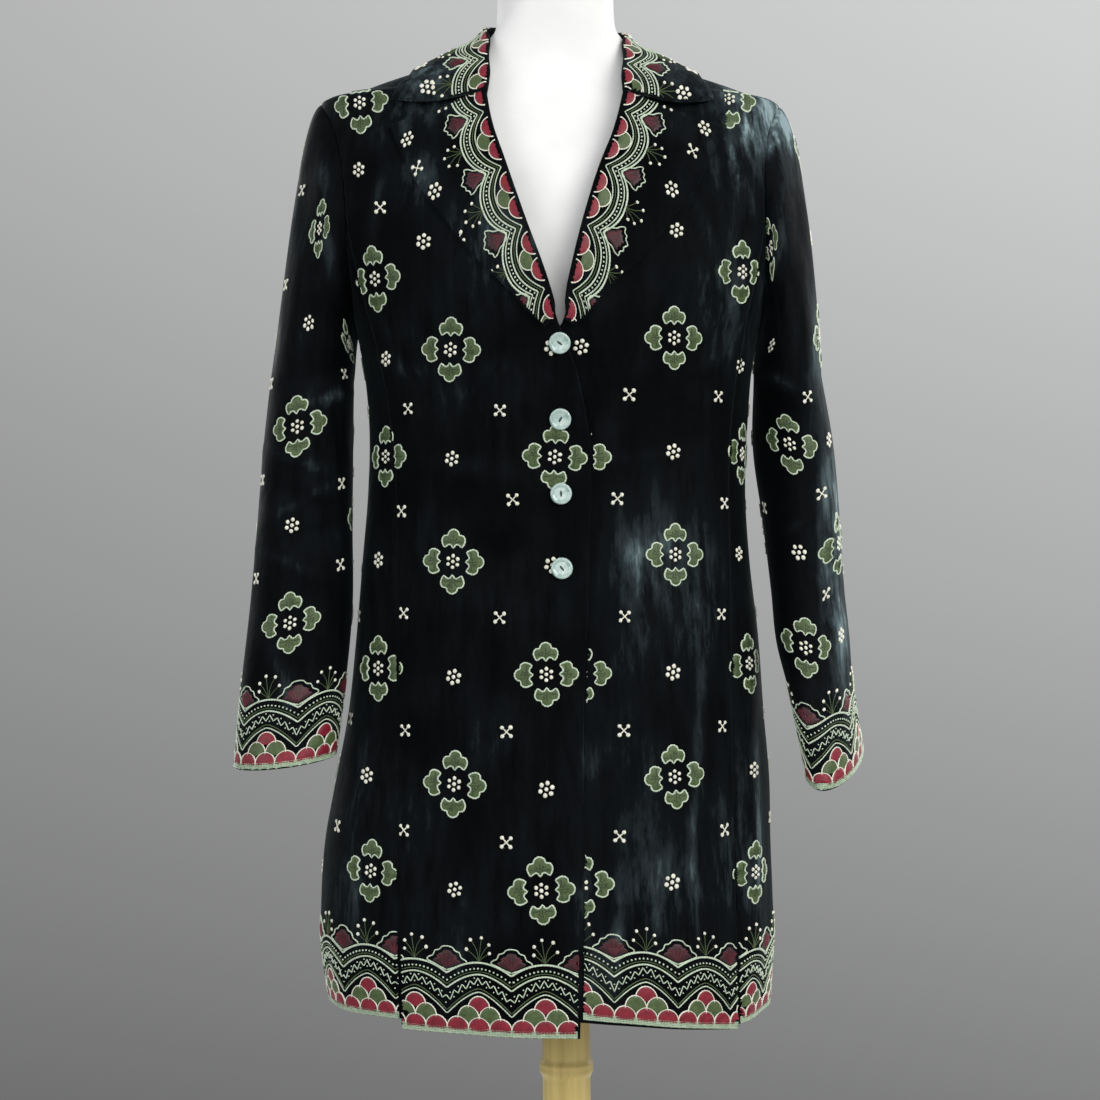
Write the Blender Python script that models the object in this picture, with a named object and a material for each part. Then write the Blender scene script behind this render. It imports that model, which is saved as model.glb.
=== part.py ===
"""A knee-length velvet jacket, buttoned up on a limbless dress form with a turned wooden stand.

Metres, +Z up. The origin is on the floor, under the middle of the stand's base, and the
jacket faces -Y, so the wearer's right is at -X. Cloth is a wall between two grids of points.
The body's panels all lie on one surface, whose rings are worked out from BODY. A place on it
is a level (the height below the shoulder, then the way up to the neck), an angle round the
body (0 at the middle of the front, 90 degrees at +X) and a distance out from the surface.
"""

import math

import bmesh
import bpy
import numpy as np

# Cloth and seams
WALL = 0.0020
SEAM_GAP_ANGLE = 0.0016
LEFT_DROP = 0.0065
OVERLAP_OUT = 0.0026
OVERLAP_NEAR = 0.046
OVERLAP_FAR = 0.075
OVERLAP_FADE = 0.026
LIE_ON = 0.0011
ROOT_GAP = 0.0006

# Levels where the cut changes
UNDERARM = 1.100
SIDE_ROWS_END = 1.080
SEAM_TOP = 1.190
SHOULDER_TIP = 1.3085
NECK = 1.450
BREAK = 1.097

# The armholes, as an egg seen from the side
ARMHOLE_DEPTH_FRONT = 0.062
ARMHOLE_DEPTH_BACK = 0.066

# Buttons, down the middle of the front
BUTTON_RADIUS = 0.0092
BUTTON_THICKNESS = 0.0034
BUTTON_TOP_HEIGHT = 1.0815
BUTTON_PITCH = 0.0635
BUTTON_COUNT = 4

# The dress form and its stand
FORM_REST = 0.0006
FORM_EASE_MIDDLE = 0.0115
FORM_EASE_ENDS = (1.300, 1.330)
ARM_PLATE = 0.186
FORM_BOTTOM = 0.742
POLE_RADIUS = 0.0215
POLE_NODE_RADIUS = 0.0245
POLE_NODES = (0.133, 0.288, 0.443, 0.598)
POLE_TOP = 0.7415
BASE_RADIUS = 0.185
BASE_HEIGHT = 0.032
TOUCH_GAP = 0.0003

# Body: level, height, half width right, half width left, depth front, depth back, squareness
BODY = np.array([
    (0.490, 0.490, 0.2075, 0.1810, 0.1400, 0.1500, 2.25),
    (0.530, 0.530, 0.2150, 0.1845, 0.1390, 0.1490, 2.25),
    (0.560, 0.560, 0.2188, 0.1870, 0.1370, 0.1470, 2.25),
    (0.600, 0.600, 0.2183, 0.1862, 0.1340, 0.1430, 2.25),
    (0.650, 0.650, 0.2145, 0.1848, 0.1310, 0.1380, 2.25),
    (0.700, 0.700, 0.2050, 0.1845, 0.1270, 0.1320, 2.25),
    (0.760, 0.760, 0.1930, 0.1800, 0.1220, 0.1250, 2.25),
    (0.830, 0.830, 0.1845, 0.1756, 0.1170, 0.1160, 2.28),
    (0.900, 0.900, 0.1780, 0.1685, 0.1110, 0.1050, 2.30),
    (0.960, 0.960, 0.1725, 0.1657, 0.1070, 0.0970, 2.30),
    (1.020, 1.020, 0.1708, 0.1685, 0.1110, 0.0970, 2.32),
    (1.080, 1.080, 0.1765, 0.1745, 0.1210, 0.1040, 2.35),
    (1.130, 1.130, 0.1875, 0.1860, 0.1260, 0.1100, 2.40),
    (1.180, 1.180, 0.1995, 0.1960, 0.1220, 0.1120, 2.45),
    (1.230, 1.230, 0.2075, 0.2010, 0.1090, 0.1080, 2.50),
    (1.280, 1.280, 0.2112, 0.2015, 0.0890, 0.0960, 2.50),
    (1.3085, 1.3085, 0.2100, 0.1990, 0.0760, 0.0860, 2.50),
    (1.330, 1.3135, 0.1870, 0.1820, 0.0710, 0.0820, 2.48),
    (1.360, 1.3240, 0.1570, 0.1550, 0.0660, 0.0770, 2.40),
    (1.395, 1.3355, 0.1220, 0.1210, 0.0600, 0.0700, 2.30),
    (1.425, 1.3455, 0.0960, 0.0960, 0.0550, 0.0640, 2.15),
    (1.450, 1.3555, 0.0750, 0.0750, 0.0520, 0.0600, 2.00),
    (1.465, 1.3665, 0.0655, 0.0655, 0.0520, 0.0580, 2.00),
    (1.480, 1.3800, 0.0585, 0.0585, 0.0530, 0.0565, 2.00),
    (1.500, 1.3980, 0.0560, 0.0560, 0.0530, 0.0560, 2.00),
])

# Soft folds of the skirt and back: angle at the top, angle at the hem, upper level, spread, depth
FOLDS = (
    (-118.0, -128.0, 0.90, 9.0, 0.0060),
    (-92.0, -97.0, 0.86, 8.0, -0.0040),
    (-63.0, -60.0, 0.88, 9.0, 0.0035),
    (-20.0, -24.0, 0.80, 8.0, -0.0025),
    (24.0, 28.0, 0.86, 9.0, 0.0030),
    (66.0, 70.0, 0.84, 8.0, -0.0030),
    (104.0, 112.0, 0.90, 10.0, 0.0050),
    (138.0, 142.0, 0.94, 9.0, -0.0060),
    (162.0, 160.0, 0.90, 9.0, 0.0055),
    (187.0, 190.0, 0.94, 9.0, -0.0055),
    (212.0, 214.0, 0.90, 9.0, 0.0060),
)

# Front edge below the break, roll line and neck edge above it: level, distance from the middle.
# Below the break the right front laps over the left one, past the middle.
EDGE_RIGHT = np.array([
    (0.490, -0.0105), (0.560, -0.0125), (0.680, -0.0153), (0.780, -0.0171), (0.866, -0.0216),
    (0.966, -0.0251), (1.000, -0.0247), (1.025, -0.0207), (1.062, -0.0126), (1.097, 0.0000),
    (1.142, 0.0136), (1.185, 0.0290), (1.240, 0.0471), (1.276, 0.0585), (1.300, 0.0630),
    (1.330, 0.0655), (1.360, 0.0680), (1.395, 0.0695), (1.425, 0.0712), (1.450, 0.0733),
])
EDGE_LEFT = np.array([
    (0.490, -0.0220), (1.050, -0.0220), (1.070, -0.0170), (1.097, 0.0015), (1.1336, 0.0095),
    (1.185, 0.0225), (1.234, 0.0377), (1.264, 0.0494), (1.300, 0.0600), (1.330, 0.0650),
    (1.360, 0.0680), (1.395, 0.0695), (1.425, 0.0712), (1.450, 0.0733),
])

# Seam between front and side: level, distance from the middle, for the right and the left
SEAM_FRONT = np.array([
    (0.490, 0.1405, 0.1490), (0.600, 0.1420, 0.1490), (0.760, 0.1420, 0.1485),
    (0.900, 0.1430, 0.1480), (1.000, 0.1465, 0.1495), (1.080, 0.1590, 0.1590),
    (1.130, 0.1720, 0.1700),
])
# Seam between side and back: level, angle from the middle of the front
SEAM_BACK = np.array([
    (0.490, 126.0), (0.760, 124.0), (0.960, 121.0), (1.080, 118.0), (1.130, 116.0),
])

# Lower edge of each panel, at its edge nearer the front middle and at its far edge
HEM = {
    "front_right": (0.4996, 0.5030),
    "front_left": (0.5150, 0.4945),
    "side_right": (0.5110, 0.5110),
    "side_left": (0.4985, 0.5080),
    "back": (0.5080, 0.5080),
}

# Outer edge of the lapel: height, distance from the middle
LAPEL_EDGE = np.array([
    (1.0900, 0.0060), (1.1043, 0.0225), (1.1243, 0.0400), (1.1595, 0.0745), (1.1900, 0.0975),
    (1.2213, 0.1200), (1.2500, 0.1335), (1.2760, 0.1447),
])
# Heights of the lapel's lower and upper end, at its roll line and at its outer edge
LAPEL_FOOT = (1.1020, 1.0960)
LAPEL_HEAD = (1.2965, 1.2745)
ROLL_HEIGHT = 0.0036
ROLL_WIDTH = 0.014
ROLL_INSET = 0.0008

# Collar: share from the back middle to the notch; level, angle and distance out of its
# neck seam, its fold and its outer edge; how far its fall stands off between the last two
COLLAR = np.array([
    (0.00, 1.4510, 180.0, 0.0004, 1.4880, 180.0, 0.0032, 1.3400, 180.0, 0.0018, 0.0050),
    (0.20, 1.4510, 152.0, 0.0004, 1.4870, 152.0, 0.0032, 1.3450, 150.0, 0.0018, 0.0050),
    (0.40, 1.4510, 118.0, 0.0004, 1.4830, 118.0, 0.0032, 1.3780, 118.0, 0.0020, 0.0042),
    (0.55, 1.4510, 90.0, 0.0004, 1.4740, 90.0, 0.0034, 1.4030, 90.0, 0.0022, 0.0036),
    (0.68, 1.4480, 57.0, -0.0004, 1.4590, 56.0, 0.0038, 1.3850, 68.0, 0.0024, 0.0036),
    (0.80, 1.4130, 33.5, -0.0045, 1.4120, 32.0, 0.0042, 1.3600, 50.0, 0.0028, 0.0028),
    (0.90, 1.3530, 17.0, -0.0060, 1.3530, 16.6, 0.0042, 1.3350, 42.0, 0.0030, 0.0024),
    (1.00, 1.3000, 11.6, -0.0060, 1.3010, 11.4, 0.0042, 1.2985, 35.6, 0.0020, 0.0018),
])
COLLAR_DIP = 0.0070
COLLAR_DIP_FROM = 0.86
COLLAR_FALL_SHARES = (0.12, 0.3, 0.5, 0.75, 1.0)

# Sleeves: height of the ring's middle, its x and y, half width, half depth, how much the ring
# rises towards +Y and towards +X, and how far it slants towards +X from front to back. The right
# sleeve hangs open, and the left one edge-on with its inner side turned to the front.
SLEEVE_RIGHT = np.array([
    (0.7250, -0.2440, -0.0480, 0.0442, 0.0420, 0.07, 0.10, 0.00),
    (0.7900, -0.2378, -0.0350, 0.0462, 0.0440, 0.06, 0.06, 0.00),
    (0.8600, -0.2315, -0.0220, 0.0455, 0.0470, 0.05, 0.03, 0.00),
    (0.9300, -0.2290, -0.0100, 0.0424, 0.0520, 0.02, 0.00, 0.00),
    (1.0000, -0.2260, -0.0030, 0.0400, 0.0560, 0.00, 0.00, 0.00),
    (1.0600, -0.2222, 0.0010, 0.0370, 0.0600, 0.00, 0.00, 0.00),
])
SLEEVE_LEFT = np.array([
    (0.7200, 0.2370, -0.0560, 0.0225, 0.0540, 0.36, 0.00, 0.32),
    (0.7900, 0.2270, -0.0400, 0.0275, 0.0550, 0.26, 0.00, 0.26),
    (0.8250, 0.2222, -0.0320, 0.0318, 0.0555, 0.20, 0.00, 0.22),
    (0.8700, 0.2188, -0.0230, 0.0325, 0.0560, 0.13, 0.00, 0.16),
    (0.9300, 0.2150, -0.0120, 0.0345, 0.0580, 0.05, 0.00, 0.08),
    (1.0000, 0.2090, -0.0030, 0.0355, 0.0600, 0.00, 0.00, 0.00),
    (1.0600, 0.2053, 0.0010, 0.0297, 0.0630, 0.00, 0.00, 0.00),
])
CAP_START = 0.075
CAP_END = 0.42
CAP_FALL = 0.35
CAP_SWELL = 0.35
ARM_LEAN = {-1: 0.154, 1: -0.030}

# Rounded bottom of the form: how far above its lowest point, how far in from its side
FORM_FOOT = ((0.0, 0.060), (0.002, 0.042), (0.010, 0.022), (0.030, 0.008))
FORM_LEVELS = (
    0.80, 0.85, 0.90, 0.95, 1.00, 1.05, 1.09, 1.13, 1.17, 1.21, 1.25, 1.28, SHOULDER_TIP,
)
# Neck of the form: height, half width, half depth
FORM_NECK = (
    (1.3640, 0.0590, 0.0480), (1.3720, 0.0545, 0.0480), (1.3880, 0.0525, 0.0490),
    (1.4150, 0.0520, 0.0495), (1.4390, 0.0515, 0.0495), (1.4430, 0.0490, 0.0475),
)

# Grid sizes
LEVELS_SKIRT = 15
LEVELS_UNDERARM = 4
LEVELS_ARMHOLE = (1.190, 1.216, 1.241, 1.263, 1.282, 1.297, SHOULDER_TIP)
LEVELS_SHOULDER = (1.330, 1.360, 1.395, 1.425, NECK)
COLUMNS_FRONT = 9
COLUMNS_SIDE = 6
COLUMNS_BACK = 14
SLEEVE_CAP_ROWS = 6
SLEEVE_TUBE_ROWS = 9
COLLAR_COLUMNS = 30
LAPEL_ROWS = 12
LAPEL_COLUMNS = 6
ROUND_SIDES = 28

VELVET = ("velvet", (0.012, 0.018, 0.020, 1.0), 0.75)
FORM_WHITE = ("form_white", (0.86, 0.86, 0.85, 1.0), 0.55)
WOOD = ("stand_wood", (0.62, 0.47, 0.28, 1.0), 0.45)
PEARL = ("button_pearl", (0.80, 0.82, 0.80, 1.0), 0.25)


def smooth(at, table, column):
    """Reads a column of a table at the values of its first column, as a smooth curve."""
    places, values = table[:, 0], table[:, column]
    slopes = np.gradient(values, places)
    low = np.clip(np.searchsorted(places, at) - 1, 0, len(places) - 2)
    width = places[low + 1] - places[low]
    t = np.clip((at - places[low]) / width, 0.0, 1.0)
    start = (2 * t**3 - 3 * t**2 + 1) * values[low] + (t**3 - 2 * t**2 + t) * width * slopes[low]
    end = (3 * t**2 - 2 * t**3) * values[low + 1] + (t**3 - t**2) * width * slopes[low + 1]
    return start + end


def mix(a, b, share):
    return a + (b - a) * share


def fold_height(level, angle):
    """How far the soft folds push the skirt out at a place."""
    height = np.zeros(np.broadcast(level, angle).shape)
    turn = np.degrees(angle)
    for top_angle, hem_angle, top, spread, depth in FOLDS:
        share = np.clip((top - level) / (top - BODY[0, 0]), 0.0, 1.0)
        middle = mix(top_angle, hem_angle, share)
        away = (turn - middle + 180.0) % 360.0 - 180.0
        height = height + depth * share**1.3 * np.exp(-((away / spread) ** 2))
    return height


def surface(level, angle):
    """Points of the body's surface, with its folds; the left shoulder sits lower than the right."""
    level, angle = np.broadcast_arrays(np.asarray(level, float), np.asarray(angle, float))
    right, left = smooth(level, BODY, 2), smooth(level, BODY, 3)
    front, back = smooth(level, BODY, 4), smooth(level, BODY, 5)
    power = 2.0 / smooth(level, BODY, 6)
    sine, cosine = np.sin(angle), np.cos(angle)
    half = np.where(sine < 0.0, right, left)
    depth = np.where(cosine > 0.0, front, back)
    x = np.sign(sine) * half * np.abs(sine) ** power
    y = -np.sign(cosine) * depth * np.abs(cosine) ** power
    out = fold_height(level, angle)
    upper = np.clip((level - UNDERARM) / (SHOULDER_TIP - UNDERARM), 0.0, 1.0)
    height = smooth(level, BODY, 1) - LEFT_DROP * np.clip(x / half, 0.0, 1.0) * upper
    return np.stack([x + out * sine, y - out * cosine, height], axis=-1)


def body(level, angle, out=0.0):
    """Points at a distance out from the body's surface."""
    level, angle, out = np.broadcast_arrays(*(np.asarray(v, float) for v in (level, angle, out)))
    step = 0.0008
    low = np.maximum(level - step, BODY[0, 0])
    high = np.minimum(level + step, BODY[-1, 0])
    up = surface(high, angle) - surface(low, angle)
    around = surface(level, angle + step) - surface(level, angle - step)
    normal = np.cross(around, up)
    normal = normal / np.linalg.norm(normal, axis=-1, keepdims=True)
    return surface(level, angle) + normal * out[..., None]


def angle_at(level, x, side):
    """The front angle where a ring is at a distance x from the middle; it is negative past it."""
    half = smooth(level, BODY, 2 if side * np.sign(x) < 0 else 3)
    return side * np.sign(x) * math.asin(min(1.0, (abs(x) / half) ** (smooth(level, BODY, 6) / 2)))


def armhole(turn, shrink=0.0):
    """Height and y of the armhole at a turn round it: 0 at the shoulder tip, a quarter in front."""
    middle = (SHOULDER_TIP + UNDERARM) / 2
    tall = (SHOULDER_TIP - UNDERARM) / 2 - shrink
    deep = (ARMHOLE_DEPTH_FRONT if math.sin(turn) > 0 else ARMHOLE_DEPTH_BACK) - shrink
    return middle + tall * math.cos(turn), -deep * math.sin(turn)


def armhole_place(turn, side, shrink=0.0):
    """Level and angle of a place on the armhole's edge."""
    level, y = armhole(turn, shrink)
    depth = smooth(level, BODY, 4 if y < 0 else 5)
    from_front = math.acos(min(1.0, (abs(y) / depth) ** (smooth(level, BODY, 6) / 2)))
    return level, side * (from_front if y < 0 else math.pi - from_front)


def turn_at(level):
    """The turn round the armhole where its front edge has this level."""
    middle = (SHOULDER_TIP + UNDERARM) / 2
    tall = (SHOULDER_TIP - UNDERARM) / 2
    return math.acos(np.clip((level - middle) / tall, -1.0, 1.0))


def seam_front(level, side):
    """The angle of the seam between front and side."""
    top = armhole_place(turn_at(SEAM_TOP), side)[1]
    join = SEAM_FRONT[-1, 0]
    if level <= join:
        return angle_at(level, smooth(level, SEAM_FRONT, 1 if side < 0 else 2), side)
    start = angle_at(join, SEAM_FRONT[-1, 1 if side < 0 else 2], side)
    return mix(start, top, (level - join) / (SEAM_TOP - join))


def seam_back(level, side):
    """The angle of the seam between side and back."""
    top = armhole_place(2 * math.pi - turn_at(SEAM_TOP), side)[1]
    join = SEAM_BACK[-1, 0]
    if level <= join:
        return side * math.radians(smooth(level, SEAM_BACK, 1))
    start = side * math.radians(SEAM_BACK[-1, 1])
    return mix(start, top, (level - join) / (SEAM_TOP - join))


def outer_limit(level, side, seam):
    """Where a front or back panel ends: at its seam, at the armhole or at the shoulder seam."""
    if level <= SEAM_TOP:
        return seam(level, side)
    if level < SHOULDER_TIP:
        turn = turn_at(level)
        return armhole_place(turn if seam is seam_front else 2 * math.pi - turn, side)[1]
    return side * math.pi / 2


def overlap_out(level, angle, side):
    """The right front is lifted where it laps over the left one."""
    if side > 0:
        return 0.0
    x = surface(level, angle)[0]
    across = min(1.0, max(0.0, (x + OVERLAP_FAR) / (OVERLAP_FAR - OVERLAP_NEAR)))
    up = min(1.0, max(0.0, (BREAK + 2 * OVERLAP_FADE - level) / OVERLAP_FADE))
    return OVERLAP_OUT * across**2 * (3 - 2 * across) * up**2 * (3 - 2 * up)


def levels_of(hem):
    """The levels of a panel's rows from its lower edge to the neck."""
    skirt = np.linspace(hem, SIDE_ROWS_END, LEVELS_SKIRT + 1)[:-1]
    underarm = np.linspace(SIDE_ROWS_END, SEAM_TOP, LEVELS_UNDERARM + 1)[:-1]
    return [*skirt, *underarm, *LEVELS_ARMHOLE, *LEVELS_SHOULDER]


def wall(name, outer, inner, look, closed=False):
    """A closed wall between two grids of points; a closed one joins its last column to its first."""
    rows, columns = outer.shape[:2]
    mesh = bmesh.new()
    skins = [[[mesh.verts.new(p) for p in row] for row in grid] for grid in (outer, inner)]
    reach = columns if closed else columns - 1
    for r in range(rows - 1):
        for c in range(reach):
            d = (c + 1) % columns
            for skin in skins:
                mesh.faces.new((skin[r][c], skin[r][d], skin[r + 1][d], skin[r + 1][c]))
    out, under = skins
    for c in range(reach):
        d = (c + 1) % columns
        mesh.faces.new((out[0][c], out[0][d], under[0][d], under[0][c]))
        mesh.faces.new((out[-1][c], out[-1][d], under[-1][d], under[-1][c]))
    if not closed:
        for r in range(rows - 1):
            mesh.faces.new((out[r][0], out[r + 1][0], under[r + 1][0], under[r][0]))
            mesh.faces.new((out[r][-1], out[r + 1][-1], under[r + 1][-1], under[r][-1]))
    return finish(name, mesh, look)


def material(look):
    name, colour, roughness = look
    found = bpy.data.materials.get(name)
    if found is None:
        found = bpy.data.materials.new(name)
        found.use_nodes = True
        shader = found.node_tree.nodes["Principled BSDF"]
        shader.inputs["Base Color"].default_value = colour
        shader.inputs["Roughness"].default_value = roughness
        shader.inputs["Metallic"].default_value = 0.0
    return found


def finish(name, mesh, look):
    """Makes the object from a closed mesh, with its faces pointing out."""
    bmesh.ops.recalc_face_normals(mesh, faces=mesh.faces)
    if mesh.calc_volume(signed=True) < 0.0:
        bmesh.ops.reverse_faces(mesh, faces=mesh.faces)
    data = bpy.data.meshes.new(name)
    mesh.to_mesh(data)
    mesh.free()
    data.shade_smooth()
    data.set_sharp_from_angle(angle=math.radians(40))
    obj = bpy.data.objects.new(name, data)
    obj.data.materials.append(material(look))
    bpy.context.scene.collection.objects.link(obj)
    return obj


def panel(name, places, side):
    """A wall on the body's surface from a grid of (level, angle) places."""
    lift = np.array([[overlap_out(level, angle, side) for level, angle in row] for row in places])
    level, angle = places[..., 0], places[..., 1]
    wall(name, body(level, angle, lift), body(level, angle, lift - WALL), VELVET)


def front(side, name):
    """A front, from its edge and roll line to the side seam, the armhole and the shoulder."""
    edge = EDGE_RIGHT if side < 0 else EDGE_LEFT
    places = []
    for near, far in zip(levels_of(HEM[name][0]), levels_of(HEM[name][1])):
        inner = angle_at(near, smooth(near, edge, 1) or 1e-6, side)
        if near > BREAK:
            inner += side * SEAM_GAP_ANGLE
        outer = outer_limit(far, side, seam_front) - side * SEAM_GAP_ANGLE
        shares = np.linspace(0.0, 1.0, COLUMNS_FRONT + 1)
        places.append([(mix(near, far, s), mix(inner, outer, s)) for s in shares])
    panel(name, np.array(places), side)


def side_panel(side, name):
    """A side panel, from the hem to the lower part of the armhole."""
    shares = np.linspace(0.0, 1.0, COLUMNS_SIDE + 1)
    first, last = turn_at(SEAM_TOP), 2 * math.pi - turn_at(SEAM_TOP)
    tops = [armhole_place(mix(first, last, s), side) for s in shares]
    places = []
    for row in range(LEVELS_SKIRT + 1):
        levels = mix(mix(*HEM[name], shares), SIDE_ROWS_END, row / LEVELS_SKIRT)
        places.append([
            (level, mix(seam_front(level, side), seam_back(level, side), s))
            for level, s in zip(levels, shares)
        ])
    start = places[-1]
    for row in range(1, LEVELS_UNDERARM + 1):
        share = row / LEVELS_UNDERARM
        line = [
            (mix(low[0], top[0], share), mix(low[1], top[1], share))
            for low, top in zip(start, tops)
        ]
        line[0] = (line[0][0], seam_front(line[0][0], side))
        line[-1] = (line[-1][0], seam_back(line[-1][0], side))
        places.append(line)
    places = np.array(places)
    places[:, 0, 1] += side * SEAM_GAP_ANGLE
    places[:, -1, 1] -= side * SEAM_GAP_ANGLE
    panel(name, places, 1)


def back(name):
    """The back, in one piece from seam to seam."""
    places = []
    for level in levels_of(HEM[name][0]):
        right = 2 * math.pi + outer_limit(level, -1, seam_back) - SEAM_GAP_ANGLE
        left = outer_limit(level, 1, seam_back) + SEAM_GAP_ANGLE
        places.append([(level, a) for a in np.linspace(left, right, COLUMNS_BACK + 1)])
    panel(name, np.array(places), 1)


def armhole_turns():
    """Turns round the armhole where the panels have their points, so that the sleeve meets them."""
    front_turns = [turn_at(level) for level in reversed(LEVELS_ARMHOLE)]
    first, last = front_turns[-1], 2 * math.pi - front_turns[-1]
    under = [mix(first, last, c / COLUMNS_SIDE) for c in range(1, COLUMNS_SIDE)]
    back_turns = [2 * math.pi - turn for turn in reversed(front_turns[1:])]
    return [*front_turns, *under, *back_turns]


def sleeve_ring(table, height, turn, inset):
    """A point of the sleeve's tube; a turn of 0 is the outer side of the arm, a quarter the front."""
    side = np.sign(table[0, 1])
    wide, deep = smooth(height, table, 3) - inset, smooth(height, table, 4) - inset
    x, y = side * wide * math.cos(turn), -deep * math.sin(turn)
    rise = smooth(height, table, 5) * y + smooth(height, table, 6) * x
    middle = np.array([smooth(height, table, 1), smooth(height, table, 2), height])
    return middle + np.array([x + smooth(height, table, 7) * y, y, rise])


def sleeve_cap(table, share, turn, inset):
    """A point of the cap, on a curve from the armhole's edge to the tube's top."""
    side = np.sign(table[0, 1])
    level, angle = armhole_place(turn, side, ROOT_GAP + inset)
    start = surface(level, angle)
    end = sleeve_ring(table, table[-1, 0], turn, inset)
    length = np.linalg.norm(end - start)
    away = np.array([side, -CAP_SWELL * math.sin(turn), -CAP_FALL])
    lean = np.array([ARM_LEAN[int(side)], 0.0, 1.0])
    first = start + away / np.linalg.norm(away) * length * CAP_START
    second = end + lean / np.linalg.norm(lean) * length * CAP_END
    t = share
    return (
        (1 - t) ** 3 * start + 3 * (1 - t) ** 2 * t * first
        + 3 * (1 - t) * t**2 * second + t**3 * end
    )


def sleeve(name, table):
    turns = armhole_turns()
    skins = []
    for inset in (0.0, WALL):
        cap = [
            [sleeve_cap(table, row / SLEEVE_CAP_ROWS, turn, inset) for turn in turns]
            for row in range(SLEEVE_CAP_ROWS)
        ]
        heights = np.linspace(table[-1, 0], table[0, 0], SLEEVE_TUBE_ROWS + 1)
        tube = [[sleeve_ring(table, height, turn, inset) for turn in turns] for height in heights]
        skins.append(np.array(cap + tube))
    wall(name, skins[0], skins[1], VELVET, closed=True)


def lapel(side, name):
    """A lapel, turned back over its front from the roll line."""
    edge = EDGE_RIGHT if side < 0 else EDGE_LEFT
    grid = []
    for row in range(LAPEL_ROWS + 1):
        up = row / LAPEL_ROWS
        roll_height = mix(LAPEL_FOOT[0], LAPEL_HEAD[0], up)
        edge_height = mix(LAPEL_FOOT[1], LAPEL_HEAD[1], up)
        roll_x = smooth(roll_height, edge, 1) + ROLL_INSET
        edge_x = smooth(edge_height, LAPEL_EDGE, 1)
        line = []
        for share in np.linspace(0.0, 1.0, LAPEL_COLUMNS + 1):
            x, height = mix(roll_x, edge_x, share), mix(roll_height, edge_height, share)
            angle = angle_at(height, x, side)
            bump = ROLL_HEIGHT * math.exp(-(((x - roll_x) / ROLL_WIDTH) ** 2))
            line.append((height, angle, LIE_ON + bump + overlap_out(height, angle, side)))
        grid.append(line)
    level, angle, out = np.moveaxis(np.array(grid), -1, 0)
    wall(name, body(level, angle, out + WALL), body(level, angle, out), VELVET)


def collar_section(share):
    """Places across the collar, from its neck seam over the fold to its outer edge."""
    side = 1.0 if share > 0 else -1.0
    row = [smooth(abs(share), COLLAR, column) for column in range(1, COLLAR.shape[1])]
    seam, fold, edge, stand_off = row[0:3], row[3:6], row[6:9], row[9]
    places = [seam, [mix(s, f, 0.5) for s, f in zip(seam, fold)], fold]
    dip = COLLAR_DIP * max(0.0, (abs(share) - COLLAR_DIP_FROM) / (1 - COLLAR_DIP_FROM)) ** 2
    for v in COLLAR_FALL_SHARES:
        level, angle, out = (mix(f, e, v) for f, e in zip(fold, edge))
        arch = math.sin(math.pi * v)
        places.append([level - dip * arch, angle, out + stand_off * arch])
    return [(level, side * math.radians(angle), out) for level, angle, out in places]


def grid_normals(grid):
    """Unit normals of a grid of points, from the steps across it."""
    across, along = np.gradient(grid, axis=1), np.gradient(grid, axis=0)
    normal = np.cross(along, across)
    return normal / np.linalg.norm(normal, axis=-1, keepdims=True)


def collar(name):
    """The collar, one folded piece from notch to notch round the back of the neck."""
    shares = np.linspace(-1.0, 1.0, COLLAR_COLUMNS + 1)
    places = np.array([collar_section(share if share else 1e-9) for share in shares])
    under = body(places[..., 0], places[..., 1], places[..., 2])
    over = under + grid_normals(under) * WALL
    wall(name, over, under, VELVET)


def turned(name, profile, look, sides=ROUND_SIDES, place=(0.0, 0.0, 0.0), spin=None):
    """A solid turned about its axis from (radius, height) points; the ends close on the axis."""
    mesh = bmesh.new()
    rings = []
    for radius, height in profile:
        if radius == 0.0:
            rings.append([mesh.verts.new((0.0, 0.0, height))])
            continue
        angles = [2 * math.pi * k / sides for k in range(sides)]
        rings.append([
            mesh.verts.new((radius * math.cos(a), radius * math.sin(a), height)) for a in angles
        ])
    for low, high in zip(rings, rings[1:]):
        for k in range(sides):
            n = (k + 1) % sides
            if len(low) == 1:
                mesh.faces.new((low[0], high[n], high[k]))
            elif len(high) == 1:
                mesh.faces.new((low[k], low[n], high[0]))
            else:
                mesh.faces.new((low[k], low[n], high[n], high[k]))
    obj = finish(name, mesh, look)
    obj.location = place
    if spin:
        obj.rotation_euler = spin
    return obj


def button(number):
    """A button with a dished face, on the right front where it laps over the left."""
    radius, thick = BUTTON_RADIUS, BUTTON_THICKNESS
    profile = [
        (0.0, 0.0), (radius * 0.80, 0.0), (radius, thick * 0.35), (radius, thick * 0.75),
        (radius * 0.88, thick), (radius * 0.62, thick * 0.72), (0.0, thick * 0.70),
    ]
    height = BUTTON_TOP_HEIGHT - number * BUTTON_PITCH
    lift = OVERLAP_OUT + 0.0008
    place = body(height, 0.0, lift)
    slope = body(height + 0.008, 0.0, lift) - body(height - 0.008, 0.0, lift)
    tilt = math.atan2(slope[1], slope[2])
    turned(
        f"button_{number + 1}", profile, PEARL, sides=20, place=tuple(place),
        spin=(math.pi / 2 - tilt, 0.0, 0.0),
    )


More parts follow.
